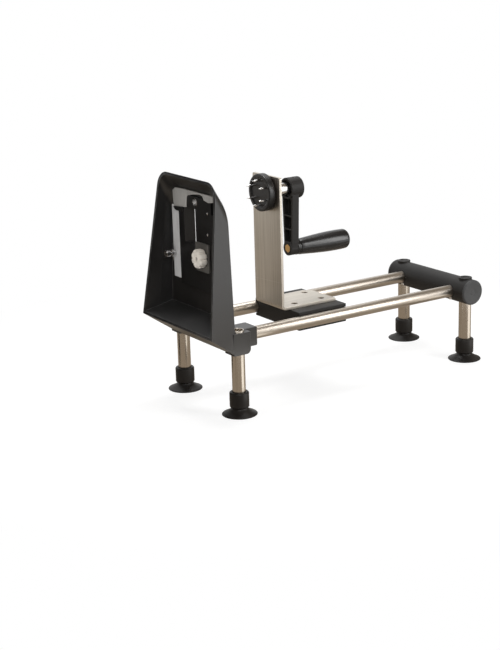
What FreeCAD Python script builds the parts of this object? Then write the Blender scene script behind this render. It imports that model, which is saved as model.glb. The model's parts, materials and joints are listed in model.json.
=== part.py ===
"""Vegetable spiralizer with a crank: blade hood, tube frame on suction feet, sliding crank carriage.

Frame of the part: X runs along the rods, from the hood (low X) to the rear bar; Z is up; the origin is
on the table, under the middle of the whole machine. All sizes are in millimetres.
"""
import FreeCAD, Part
import math
import os
import re
import Sketcher

# Driving dimensions: name, value, meaning. Places are along X unless the name says otherwise.
SIZES = [
    ("FrontLegX", -143.4, "centre of the front legs"),
    ("Wheelbase", 308.4, "front legs to rear legs"),
    ("Track", 108.3, "between the left and right legs"),
    ("LegDiameter", 14.0, "outside of a leg tube"),
    ("LegWall", 1.2, "wall of a leg tube"),
    ("FrontLegTop", 90.6, "height of the open top of a front leg"),
    ("RodDiameter", 13.5, "outside of a slide rod"),
    ("RodWall", 1.2, "wall of a slide rod"),
    ("RodSpacing", 85.4, "between the two rods"),
    ("RodHeight", 80.0, "height of the rod axes"),
    ("RodEndGap", 0.3, "rod end to the leg tube"),
    ("SocketFit", 0.05, "clearance on the radius of a tube in its socket"),
    ("SlideFit", 0.3, "clearance between the carriage block and a rod"),
    ("ShaftFit", 0.05, "clearance on the radius of a turning shaft"),
    ("FaceGap", 0.3, "gap between faces that turn or slide past each other"),
    ("FootRimDiameter", 37.2, "rim of a suction foot"),
    ("FootRimEdge", 0.9, "thickness of the rim"),
    ("FootRimFlat", 1.3, "width of the flat ring that meets the table"),
    ("FootCupDepth", 3.2, "depth of the hollow under a foot"),
    ("FootCupCentre", 5.0, "flat middle of the hollow under a foot"),
    ("FootNeckDiameter", 16.6, "narrow neck above the cup"),
    ("FootNeckHeight", 6.6, "height of the neck"),
    ("FootSleeveDiameter", 20.5, "sleeve that holds the leg"),
    ("FootTop", 24.6, "height of the sleeve's top"),
    ("FootSocketFloor", 8.0, "height of the leg's end in the sleeve"),
    ("FootLip", 1.2, "bevel of the sleeve's top and bottom"),
    ("RimFootX", -183.6, "foremost bottom edge of the hood rim"),
    ("RimLean", 7.15, "backward lean of the rim, degrees"),
    ("RimBottom", 89.0, "height of the rim's bottom edge"),
    ("RimBottomHalf", 69.4, "half width of the rim at its bottom"),
    ("RimTopHalf", 55.7, "half width of the rim at its top, as if not rounded"),
    ("RimCorner", 17.0, "radius of the rim's top corners"),
    ("RimOverShaft", 27.7, "top of the rim over the crank axis"),
    ("BackOverShaft", 13.5, "hood's top at the back over the crank axis"),
    ("BackX", -150.0, "rear face of the hood's back panel"),
    ("BackBottom", 65.5, "height of the hood's lowest edge"),
    ("BackBottomHalf", 61.8, "half width of the back at its bottom"),
    ("BackTopHalf", 52.7, "half width of the back at its top, as if not rounded"),
    ("BackCorner", 33.0, "radius of the top corners at the back"),
    ("HoodWall", 3.0, "wall of the hood"),
    ("PanelThickness", 3.0, "thickness of the back panel"),
    ("FloorFront", 91.6, "height of the chute floor at the rim"),
    ("FloorBack", 102.0, "height of the chute floor at the panel"),
    ("CreaseX", -166.8, "foot of the crease round the inside of the hood"),
    ("CreaseLean", 3.5, "backward lean of the crease, degrees"),
    ("CreaseBottom", 97.4, "height of the crease's bottom"),
    ("CreaseOverShaft", 16.0, "top of the crease over the crank axis"),
    ("CreaseBottomHalf", 60.1, "half width of the crease at its bottom"),
    ("CreaseTopHalf", 50.3, "half width of the crease at its top, as if not rounded"),
    ("CreaseCorner", 22.0, "radius of the crease's top corners"),
    ("RimGrooveInset", 0.9, "rim edge to the groove in it"),
    ("RimGrooveWidth", 0.9, "width of the groove round the rim"),
    ("RimGrooveDepth", 1.5, "depth of the groove round the rim"),
    ("HollowDepth", 20.0, "depth of the hollow under the chute floor"),
    ("HollowHalf", 43.0, "half width of the hollow under the chute floor"),
    ("BlockRearX", -132.5, "rear face of the leg blocks"),
    ("BlockTop", 88.8, "top of the leg blocks"),
    ("BlockInside", 9.15, "leg axis to the block's inner face"),
    ("BlockOutside", 8.05, "leg axis to the block's outer face"),
    ("BlockRound", 5.0, "radius of a leg block's lower rear edge"),
    ("CollarLength", 15.0, "length of a rod collar behind its leg block"),
    ("CollarHalf", 10.4, "half width of a rod collar"),
    ("CollarTop", 89.6, "top of the rod collars"),
    ("CollarBottom", 69.6, "underside of the rod collars"),
    ("CollarRound", 2.5, "radius of the collar corners"),
    ("WindowLeft", 26.0, "panel window, its side towards +Y"),
    ("WindowRight", -34.0, "panel window, its side towards -Y"),
    ("WindowShare", 0.2632, "window's bottom, share of the rise from the chute floor to the crank axis"),
    ("WindowOverShaft", 6.2, "top of the window over the crank axis"),
    ("CassetteLip", 7.0, "how far the cassette's flange laps the window's sides"),
    ("CassetteFlange", 2.4, "thickness of the cassette's flange"),
    ("CassetteStep", 15.0, "height of the narrow part at the cassette's top"),
    ("CassetteProud", 1.0, "cassette's rear face behind the panel's"),
    ("CassetteFit", 0.2, "clearance of the cassette in the window"),
    ("SlotWidth", 11.0, "width of the noodle slot at the food side"),
    ("SlotFlare", 11.0, "how much wider the slot is at the outlet side"),
    ("SlotShare", 0.614, "slot's bottom, share of the same rise"),
    ("SlotUnderShaft", 7.0, "top of the slot under the crank axis"),
    ("BladeWidth", 16.0, "width of the slicing blade"),
    ("BladeSheet", 1.0, "thickness of the slicing blade"),
    ("BladeLift", 2.0, "height of the cutting edge over the cassette"),
    ("BladeOverlap", 0.8, "how far the cutting edge stands over the slot"),
    ("BladeEndMargin", 1.0, "blade and comb past the slot's bottom end"),
    ("CombSheet", 1.2, "thickness of the comb strip"),
    ("CombWidth", 10.0, "width of the comb strip"),
    ("CombGap", 0.8, "slot edge to the comb strip"),
    ("ToothCount", 9, "number of comb teeth"),
    ("ToothMargin", 1.7, "end tooth to the end of the slot"),
    ("ToothHeight", 2.4, "height of a tooth over the comb strip"),
    ("ToothSheet", 0.8, "thickness of a tooth"),
    ("ToothLength", 4.5, "length of a tooth across the strip"),
    ("BladeScrewHead", 5.0, "head of a blade or comb screw"),
    ("BladeScrewShank", 2.6, "shank of a blade or comb screw"),
    ("BladeScrewInset", 7.0, "blade and comb screws from the ends of the slot"),
    ("CoringDiameter", 9.2, "outside of the coring tube"),
    ("CoringWall", 0.8, "wall of the coring tube"),
    ("CoringReach", 7.5, "coring tube past the cassette on the food side"),
    ("ClampY", -15.7, "clamp knob, across"),
    ("ClampShare", 0.5175, "clamp knob's height, share of the same rise"),
    ("ClampPlateWidth", 25.0, "width of the clamp plate"),
    ("ClampPlateHeight", 30.0, "height of the clamp plate"),
    ("ClampPlateSheet", 2.0, "thickness of the clamp plate"),
    ("ClampPlateShift", 2.2, "middle of the clamp plate towards +Y from the knob"),
    ("KnobDiameter", 20.0, "clamp knob"),
    ("KnobLength", 9.0, "depth of the clamp knob"),
    ("KnobRound", 1.8, "rounding of the knob's edges"),
    ("KnobLobes", 8, "finger hollows round the knob"),
    ("KnobScallop", 6.0, "diameter of a finger hollow"),
    ("StudDiameter", 5.0, "clamp stud"),
    ("StudRecess", 1.8, "stud end below the knob's face"),
    ("StripInner", 33.2, "edge of the clamping strip nearest the middle"),
    ("StripWidth", 14.6, "width of the clamping strip"),
    ("StripSheet", 1.6, "thickness of the clamping strip"),
    ("StripShare", 0.2456, "strip's lower end, share of the same rise"),
    ("StripUnderShaft", 8.5, "upper end of the strip under the crank axis"),
    ("TensionY", 44.0, "socket screw, across"),
    ("TensionShare", 0.4737, "socket screw's height, share of the same rise"),
    ("TensionShank", 4.8, "shank of the socket screw"),
    ("TensionHead", 7.6, "head of the socket screw"),
    ("TensionHeadLength", 4.6, "length of its head"),
    ("TensionReach", 14.2, "head's front face to the panel"),
    ("TensionSocket", 3.6, "hexagon socket, across flats"),
    ("RingNutDiameter", 8.4, "ring nut on the socket screw"),
    ("RingNutLength", 2.4, "length of the ring nut"),
    ("RingNutGap", 2.0, "screw head to the ring nut"),
    ("BackNutFlats", 8.0, "nuts behind the panel, across flats"),
    ("BackNutLength", 3.2, "length of these nuts"),
    ("ClipWire", 0.9, "wire of the small clip"),
    ("ClipReach", 5.0, "length of the clip's tail"),
    ("BarDiameter", 28.6, "rear bar"),
    ("BarPastLeg", 13.25, "leg axis to the end face of the bar's cap"),
    ("BarHeight", 80.5, "height of the rear bar's axis"),
    ("BossDiameter", 15.0, "boss over a rear leg"),
    ("BossTop", 96.2, "height of the boss's top"),
    ("BossDish", 0.8, "depth of the dish in the boss's top"),
    ("BossRoof", 2.2, "material over the rear leg's end"),
    ("CapThickness", 2.6, "thickness of a bar end cap"),
    ("CapRound", 1.2, "rounded edge of a bar end cap"),
    ("CapSpigot", 2.8, "length of the cap's spigot in the bar"),
    ("CapSpigotDiameter", 12.0, "diameter of the cap's spigot"),
    ("GrubDiameter", 4.0, "grub screws under the rods"),
    ("GrubInset", 7.5, "grub screws from the mouth of the rod sockets"),
    ("CarriageFront", -57.2, "front face of the carriage block"),
    ("CarriageLength", 63.0, "length of the carriage block"),
    ("CarriageHalf", 41.3, "half width of the carriage block"),
    ("CarriageTop", 90.5, "top of the carriage block"),
    ("CarriageBottom", 70.4, "underside of the carriage block"),
    ("CarriageRound", 1.0, "rounded end edges of the carriage block"),
    ("PlateFront", -67.2, "front face of the bracket's upright"),
    ("BracketSheet", 3.0, "steel thickness of the bracket"),
    ("BracketBend", 5.5, "outside radius of the bend"),
    ("BracketWidth", 50.0, "width of the bracket"),
    ("BracketOverShaft", 17.7, "top of the upright over the crank axis"),
    ("BracketFoot", 71.0, "length of the bracket's foot"),
    ("BracketCorner", 8.5, "bevel of the foot's far corner"),
    ("BracketRound", 2.0, "rounded top corners of the upright"),
    ("ScrewSpan", 31.0, "bracket screws, spacing across"),
    ("ScrewPitch", 35.6, "bracket screws, spacing along"),
    ("ScrewRow", -8.7, "rear pair of bracket screws"),
    ("ScrewShank", 4.0, "shank of a bracket screw"),
    ("ScrewHead", 6.6, "head of a bracket screw"),
    ("ScrewHeadHeight", 1.8, "height of its countersunk head"),
    ("ScrewSink", 0.7, "screw head below the bracket's face"),
    ("ScrewDepth", 9.0, "shank length in the block"),
    ("ShaftHeight", 216.0, "height of the crank axis"),
    ("ShaftDiameter", 8.0, "crank shaft"),
    ("BushSpigot", 11.0, "bush in the bracket's hole"),
    ("BushDiameter", 14.0, "bush behind the bracket"),
    ("HolderDiameter", 40.0, "food holder disc"),
    ("HolderThickness", 8.0, "thickness of the food holder"),
    ("HolderGap", 1.0, "food holder to the bracket"),
    ("HolderRound", 1.2, "rounded edge of the food holder"),
    ("HolderDish", 1.6, "depth of the dish in the holder's face"),
    ("HolderFloor", 3.0, "holder material in front of the shaft's end"),
    ("ProngCount", 6, "prongs of the food holder"),
    ("ProngRing", 13.0, "radius of the circle of prongs"),
    ("ProngDiameter", 2.4, "thickness of a prong"),
    ("ProngLength", 9.6, "prong past the dished face"),
    ("ProngPoint", 3.6, "length of a prong's point"),
    ("ProngRoot", 3.0, "prong inside the holder"),
    ("HubFront", -41.2, "front face of the crank's hub and boss"),
    ("HubLength", 16.0, "length of the crank's hub"),
    ("HubDiameter", 23.0, "crank hub"),
    ("HubRingOuter", 18.4, "outside of the recessed ring in the hub"),
    ("HubRingInner", 12.6, "inside of the recessed ring in the hub"),
    ("HubRingDepth", 3.0, "depth of the recessed ring"),
    ("HubFloor", 2.2, "hub material behind the shaft's end"),
    ("CrankRadius", 65.2, "crank axis to grip axis"),
    ("ArmSetBack", 1.0, "arm's front edge behind the hub's face"),
    ("ArmDepth", 8.7, "depth of the arm's channel section"),
    ("ArmTopWidth", 20.0, "arm width at the hub"),
    ("ArmEndWidth", 15.0, "arm width at the grip"),
    ("ArmWall", 2.5, "wall of the channel section"),
    ("ArmRib", 1.6, "thickness of a rib in the channel"),
    ("RibOne", 29.0, "first rib below the crank axis"),
    ("RibTwo", 43.5, "second rib below the crank axis"),
    ("ArmBoss", 15.6, "boss at the arm's end"),
    ("InsertFlats", 8.0, "brass insert, across flats"),
    ("InsertLength", 7.0, "length of the brass insert"),
    ("SpindleDiameter", 6.0, "grip spindle"),
    ("SpindleThread", 4.6, "threaded end in the brass insert"),
    ("SpindleBarb", 7.4, "snap head at the spindle's end"),
    ("SpindleReach", 50.0, "spindle inside the grip"),
    ("WasherDiameter", 16.4, "neck washer"),
    ("WasherLength", 3.7, "length of the neck washer"),
    ("GripLength", 64.5, "length of the grip"),
    ("GripSmall", 17.2, "grip diameter at the arm"),
    ("GripLarge", 21.4, "grip diameter near its end"),
    ("GripSwell", 48.0, "arm end to the grip's widest place"),
    ("GripEndRound", 4.0, "rounded outer end of the grip"),
    ("GripMouthRound", 0.8, "rounded edge at the grip's arm end"),
]

# Sizes that follow the others: the hood, the cutting parts and the bracket go with the crank axis,
# the leg blocks and the rear bar with the spacing of the legs.
TIED_SIZES = [
    ("ShaftRise", "ShaftHeight - FloorBack", "rise from the chute floor to the crank axis"),
    ("RimTop", "ShaftHeight + RimOverShaft", "height of the rim's top edge"),
    ("BackTop", "ShaftHeight + BackOverShaft", "height of the hood's top at the back"),
    ("CreaseTop", "ShaftHeight + CreaseOverShaft", "height of the crease's top"),
    ("WindowTop", "ShaftHeight + WindowOverShaft", "panel window, its top height"),
    ("WindowBottom", "FloorBack + WindowShare * ShaftRise", "panel window, its bottom height"),
    ("SlotTop", "ShaftHeight - SlotUnderShaft", "height of the slot's top"),
    ("SlotBottom", "FloorBack + SlotShare * ShaftRise", "height of the slot's bottom"),
    ("ToothPitch", "(SlotTop - SlotBottom - 2 * ToothMargin) / (ToothCount - 1)", "spacing of the comb teeth"),
    ("ClampHeight", "FloorBack + ClampShare * ShaftRise", "height of the clamp knob"),
    ("StripTop", "ShaftHeight - StripUnderShaft", "height of the strip's upper end"),
    ("StripBottom", "FloorBack + StripShare * ShaftRise", "height of the strip's lower end"),
    ("TensionHeight", "FloorBack + TensionShare * ShaftRise", "height of the socket screw"),
    ("BracketTop", "ShaftHeight + BracketOverShaft", "height of the upright"),
    ("BlockInnerHalf", "Track / 2 - BlockInside", "inner face of a leg block, from the middle"),
    ("BlockOuterHalf", "Track / 2 + BlockOutside", "outer face of a leg block, from the middle"),
    ("BarHalf", "Track / 2 + BarPastLeg", "half length of the rear bar with its caps"),
]

doc = FreeCAD.newDocument("Spiralizer")
sheet = doc.addObject("Spreadsheet::Sheet", "Sizes")
for row, (alias, number, meaning) in enumerate(SIZES, 1):
    sheet.set(f"A{row}", alias)
    sheet.set(f"B{row}", str(number))
    sheet.setAlias(f"B{row}", alias)
    sheet.set(f"C{row}", meaning)
for row, (alias, formula, meaning) in enumerate(TIED_SIZES, len(SIZES) + 1):
    sheet.set(f"A{row}", alias)
    sheet.setAlias(f"B{row}", alias)
    sheet.set(f"B{row}", "=" + formula)
    sheet.set(f"C{row}", meaning)
doc.recompute()

UP = FreeCAD.Vector(0, 0, 1)
ALONG_X = FreeCAD.Rotation(FreeCAD.Vector(0, 1, 0), 90)
OVERCUT = 1.0
nodes = {}

# Places that several pieces share.
REAR_LEG_X = "(FrontLegX + Wheelbase)"
PANEL_FRONT = "(BackX - PanelThickness)"
CASSETTE_BACK = "(BackX + CassetteProud)"
FLANGE_FRONT = "(BackX - PanelThickness - CassetteFlange)"
CLAMP_FRONT = "(BackX - PanelThickness - CassetteFlange - ClampPlateSheet)"
KNOB_BACK = "(BackX - PanelThickness - CassetteFlange - ClampPlateSheet - FaceGap)"
COLLAR_REAR = "(BlockRearX + CollarLength)"
ROD_FRONT = "(FrontLegX + LegDiameter / 2 + RodEndGap)"
ROD_REAR = "(FrontLegX + Wheelbase - LegDiameter / 2 - RodEndGap)"
REAR_LEG_TOP = "(BossTop - BossDish - BossRoof)"
HOLDER_FRONT = "(PlateFront - HolderGap - HolderThickness)"
GRIP_HEIGHT = "(ShaftHeight - CrankRadius)"
ARM_REAR = "(HubFront + ArmSetBack + ArmDepth)"
GRIP_START = "(HubFront + ArmSetBack + ArmDepth + WasherLength + FaceGap)"
GRUB_IN_BAR = "(-1 * BarDiameter / 2 + 0.4 * GrubInset)"
BLADE_ROW = "(-0.7 * BladeWidth)"
COMB_ROW = "(SlotWidth + CombGap + 0.72 * CombWidth)"
BLADE_SCREW_HEIGHTS = ("(SlotBottom + BladeScrewInset)", "(SlotTop - BladeScrewInset)")
BLADE_BOTTOM = "(SlotBottom - BladeEndMargin)"
BLADE_LENGTH = "(SlotTop - SlotBottom + BladeEndMargin)"


def bound(expression):
    """An expression in which each size name points at the sheet."""
    return re.sub(r"\b[A-Z]\w*", lambda name: "Sizes." + name.group(0), str(expression))


def value(expression):
    """The number that an expression of size names gives now."""
    return float(sheet.evalExpression(bound(expression)))


def place(piece, x="0", y="0", z="0", rotation=None):
    """Bind a piece's place to the sheet, turned once by a fixed rotation."""
    if rotation:
        piece.Placement = FreeCAD.Placement(FreeCAD.Vector(), rotation)
    for axis, expression in (("x", x), ("y", y), ("z", z)):
        piece.setExpression("Placement.Base." + axis, bound(expression))


def make_body(name, x="0", y="0", z="0", rotation=None):
    piece = doc.addObject("PartDesign::Body", name)
    piece.Label = name
    place(piece, x, y, z, rotation)
    return piece


def make_sketch(piece, plane, offset="0", rise="0", lean=None):
    """A sketch on one of the body's own planes, moved along the plane's normal by offset."""
    drawing = piece.newObject("Sketcher::SketchObject", piece.Name + "_sketch")
    support = next(item for item in piece.Origin.OriginFeatures if item.Role == plane)
    drawing.AttachmentSupport = [(support, "")]
    drawing.MapMode = "FlatFace"
    if lean:
        tilt = FreeCAD.Rotation(FreeCAD.Vector(1, 0, 0), value(lean))
        drawing.AttachmentOffset = FreeCAD.Placement(FreeCAD.Vector(), tilt)
        drawing.setExpression("AttachmentOffset.Rotation.Angle", bound(lean))
    drawing.setExpression("AttachmentOffset.Base.y", bound(rise))
    drawing.setExpression("AttachmentOffset.Base.z", bound(offset))
    return drawing


def fix_point(drawing, edge, end, u, v):
    """Hold one end of a drawn edge at a place given by two expressions."""
    for kind, expression in (("DistanceX", u), ("DistanceY", v)):
        constraint = Sketcher.Constraint(kind, -1, 1, edge, end, value(expression))
        number = drawing.addConstraint(constraint)
        drawing.setExpression(f"Constraints[{number}]", bound(expression))


def arc_between(start, end, radius, bend):
    """The short arc from start to end; bend is 1 where it turns left and -1 where it turns right."""
    chord = end - start
    left = FreeCAD.Vector(-chord.y, chord.x, 0).normalize()
    rise = math.sqrt(max(radius ** 2 - (chord.Length / 2) ** 2, 0))
    centre = (start + end) * 0.5 + left * rise * bend
    first, last = (start, end) if bend > 0 else (end, start)
    angles = [math.atan2(spot.y - centre.y, spot.x - centre.x) for spot in (first, last)]
    return Part.ArcOfCircle(Part.Circle(centre, UP, radius), *angles)


def draw_outline(drawing, points):
    """A closed outline. A point is (u, v); with (u, v, radius, bend) an arc leads to it."""
    spots = [FreeCAD.Vector(value(point[0]), value(point[1]), 0) for point in points]
    ends = []
    for index, point in enumerate(points):
        start, end = spots[index - 1], spots[index]
        if len(point) == 2:
            edge = drawing.addGeometry(Part.LineSegment(start, end), False)
            ends.append((edge, 1, 2))
            continue
        radius, bend = point[2:]
        edge = drawing.addGeometry(arc_between(start, end, value(radius), bend), False)
        ends.append((edge, 1, 2) if bend > 0 else (edge, 2, 1))
    for index, (edge, start, end) in enumerate(ends):
        before = ends[index - 1]
        drawing.addConstraint(Sketcher.Constraint("Coincident", before[0], before[2], edge, start))
        fix_point(drawing, edge, end, *points[index][:2])
    for (edge, start, end), point in zip(ends, points):
        if len(point) > 2:
            number = drawing.addConstraint(Sketcher.Constraint("Radius", edge, value(point[2])))
            drawing.setExpression(f"Constraints[{number}]", bound(point[2]))


def draw_rectangle(drawing, u_low, u_high, v_low, v_high):
    draw_outline(drawing, [(u_low, v_low), (u_high, v_low), (u_high, v_high), (u_low, v_high)])


def draw_circle(drawing, u, v, diameter):
    middle = FreeCAD.Vector(value(u), value(v), 0)
    edge = drawing.addGeometry(Part.Circle(middle, UP, value(diameter) / 2), False)
    fix_point(drawing, edge, 3, u, v)
    number = drawing.addConstraint(Sketcher.Constraint("Diameter", edge, value(diameter)))
    drawing.setExpression(f"Constraints[{number}]", bound(diameter))


def draw_hexagon(drawing, u, v, flats):
    """A hexagon with two flats across the u axis."""
    corners = []
    for step in range(6):
        angle = 30 + 60 * step
        reach = f"{flats} / 2 / cos(30)"
        corners.append((f"{u} + {reach} * cos({angle})", f"{v} + {reach} * sin({angle})"))
    draw_outline(drawing, corners)


def extrude(kind, piece, drawing, length, forward, both):
    feature = piece.newObject("PartDesign::" + kind, f"{piece.Name}_{kind.lower()}")
    feature.Profile = drawing
    feature.SideType = "Symmetric" if both else "One side"
    feature.Reversed = (not forward) if kind == "Pad" else forward
    feature.setExpression("Length", bound(length))
    return feature


def pad(piece, drawing, length, forward=True, both=False):
    """Add the drawn shape, along the plane's normal when forward."""
    return extrude("Pad", piece, drawing, length, forward, both)


def pocket(piece, drawing, length, forward=True, both=False):
    """Cut the drawn shape, along the plane's normal when forward; it must take material away."""
    doc.recompute()
    before = piece.Shape.Volume
    feature = extrude("Pocket", piece, drawing, length, forward, both)
    doc.recompute()
    if not piece.Shape.Volume < before:
        raise RuntimeError(f"{feature.Name} cuts nothing")
    return feature


def bore(piece, plane, holes, diameter, offset, length, forward=True):
    """Round holes of one diameter, at (u, v) places on one plane."""
    drawing = make_sketch(piece, plane, offset)
    for u, v in holes:
        draw_circle(drawing, u, v, diameter)
    return pocket(piece, drawing, length, forward)


def soften(piece, size, chosen, kind="Fillet"):
    """Round or bevel the edges that the chosen test picks, in the body's own frame."""
    doc.recompute()
    base = piece.Tip
    picked = [f"Edge{number}" for number, edge in enumerate(base.Shape.Edges, 1) if chosen(edge)]
    if not picked:
        raise RuntimeError(f"no edge to soften on {piece.Name}")
    feature = piece.newObject("PartDesign::" + kind, f"{piece.Name}_{kind.lower()}")
    feature.Base = (base, picked)
    feature.setExpression("Radius" if kind == "Fillet" else "Size", bound(size))
    return feature


def lies_at(edge, x=None, y=None, z=None):
    """Whether the whole edge lies at the given coordinates, each an expression or None."""
    for axis, expression in (("x", x), ("y", y), ("z", z)):
        if expression is None:
            continue
        for vertex in edge.Vertexes:
            if abs(getattr(vertex.Point, axis) - value(expression)) > 0.01:
                return False
    return True


def pattern_round(piece, feature, count):
    """Repeat a feature round the body's own Z axis."""
    ring = piece.newObject("PartDesign::PolarPattern", piece.Name + "_pattern")
    ring.Originals = [feature]
    ring.Axis = (next(item for item in piece.Origin.OriginFeatures if item.Role == "Z_Axis"), [""])
    ring.Angle = 360
    ring.setExpression("Occurrences", bound(count))
    piece.Tip = ring
    return ring


def turned(name, profile, x="0", y="0", z="0", rotation=None):
    """A piece turned on a lathe: profile points are (radius, height) along the body's own Z axis."""
    piece = make_body(name, x, y, z, rotation)
    drawing = make_sketch(piece, "XZ_Plane")
    draw_outline(drawing, profile)
    feature = piece.newObject("PartDesign::Revolution", name + "_turning")
    feature.Profile = drawing
    feature.ReferenceAxis = (drawing, ["V_Axis"])
    feature.Angle = 360
    return piece


def tube(name, diameter, wall, length, x, y, z, rotation=None):
    """A plain tube from its start point, along Z or along the rotation's own Z."""
    solids = []
    for suffix, radius in (("outside", f"{diameter} / 2"), ("inside", f"{diameter} / 2 - {wall}")):
        solid = doc.addObject("Part::Cylinder", f"{name}_{suffix}")
        solid.setExpression("Radius", bound(radius))
        solid.setExpression("Height", bound(length))
        place(solid, x, y, z, rotation)
        solids.append(solid)
    piece = doc.addObject("Part::Cut", name)
    piece.Base, piece.Tool = solids
    piece.Label = name
    return piece


def group(name, pieces):
    """Alike pieces that share one node."""
    bundle = doc.addObject("Part::Compound", name)
    bundle.Links = pieces
    bundle.Label = name
    return bundle


def keep(name, piece):
    nodes[name] = piece
    return piece


def draw_hood_section(drawing, bottom, top, half_bottom, half_top, corner):
    """A hood outline: flat bottom with sharp corners, leaning sides, flat top with round corners."""
    low, high, wide, narrow, radius = (
        value(item) for item in (bottom, top, half_bottom, half_top, corner))
    length = math.hypot(narrow - wide, high - low)
    run, climb = (narrow - wide) / length, (high - low) / length
    centre_u = narrow - radius * (1 + run) / climb
    centre = FreeCAD.Vector(centre_u, high - radius, 0)
    side_u, side_v = centre.x + radius * climb, centre.y - radius * run
    slope = math.atan2(-run, climb)
    left_centre = FreeCAD.Vector(-centre.x, centre.y, 0)

    def line(u_from, v_from, u_to, v_to):
        ends = FreeCAD.Vector(u_from, v_from, 0), FreeCAD.Vector(u_to, v_to, 0)
        return drawing.addGeometry(Part.LineSegment(*ends), False)

    def corner_arc(middle, angle_from, angle_to):
        arc = Part.ArcOfCircle(Part.Circle(middle, UP, radius), angle_from, angle_to)
        return drawing.addGeometry(arc, False)

    floor = line(-wide, low, wide, low)
    right = line(wide, low, side_u, side_v)
    right_arc = corner_arc(centre, slope, math.pi / 2)
    roof = line(centre.x, high, -centre.x, high)
    left_arc = corner_arc(left_centre, math.pi / 2, math.pi - slope)
    left = line(-side_u, side_v, -wide, low)
    drawing.addConstraint(Sketcher.Constraint("Coincident", floor, 2, right, 1))
    for before, after in ((right, right_arc), (right_arc, roof), (roof, left_arc), (left_arc, left)):
        drawing.addConstraint(Sketcher.Constraint("Tangent", before, 2, after, 1))
    drawing.addConstraint(Sketcher.Constraint("Coincident", left, 2, floor, 1))
    fix_point(drawing, floor, 1, f"-1 * ({half_bottom})", bottom)
    fix_point(drawing, floor, 2, half_bottom, bottom)
    for side, wall in ((1, right), (-1, left)):
        apex = drawing.addGeometry(Part.Point(FreeCAD.Vector(side * narrow, high, 0)), True)
        fix_point(drawing, apex, 1, f"{side} * ({half_top})", top)
        for edge in (wall, roof):
            drawing.addConstraint(Sketcher.Constraint("PointOnObject", apex, 1, edge))
    for arc in (right_arc, left_arc):
        number = drawing.addConstraint(Sketcher.Constraint("Radius", arc, radius))
        drawing.setExpression(f"Constraints[{number}]", bound(corner))


def hood_loft(piece, kind, front, *others):
    feature = piece.newObject("PartDesign::" + kind, f"{piece.Name}_{kind.lower()}")
    feature.Profile = front
    feature.Sections = list(others)
    feature.Ruled = True
    return feature


def rim_sketch(piece):
    return make_sketch(piece, "YZ_Plane", "RimFootX", "RimBottom", "RimLean")


def mirrored_pair(u, v):
    """One place on each side of the middle, for u given as a distance from it."""
    return [(f"-1 * ({u})", v), (u, v)]


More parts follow.
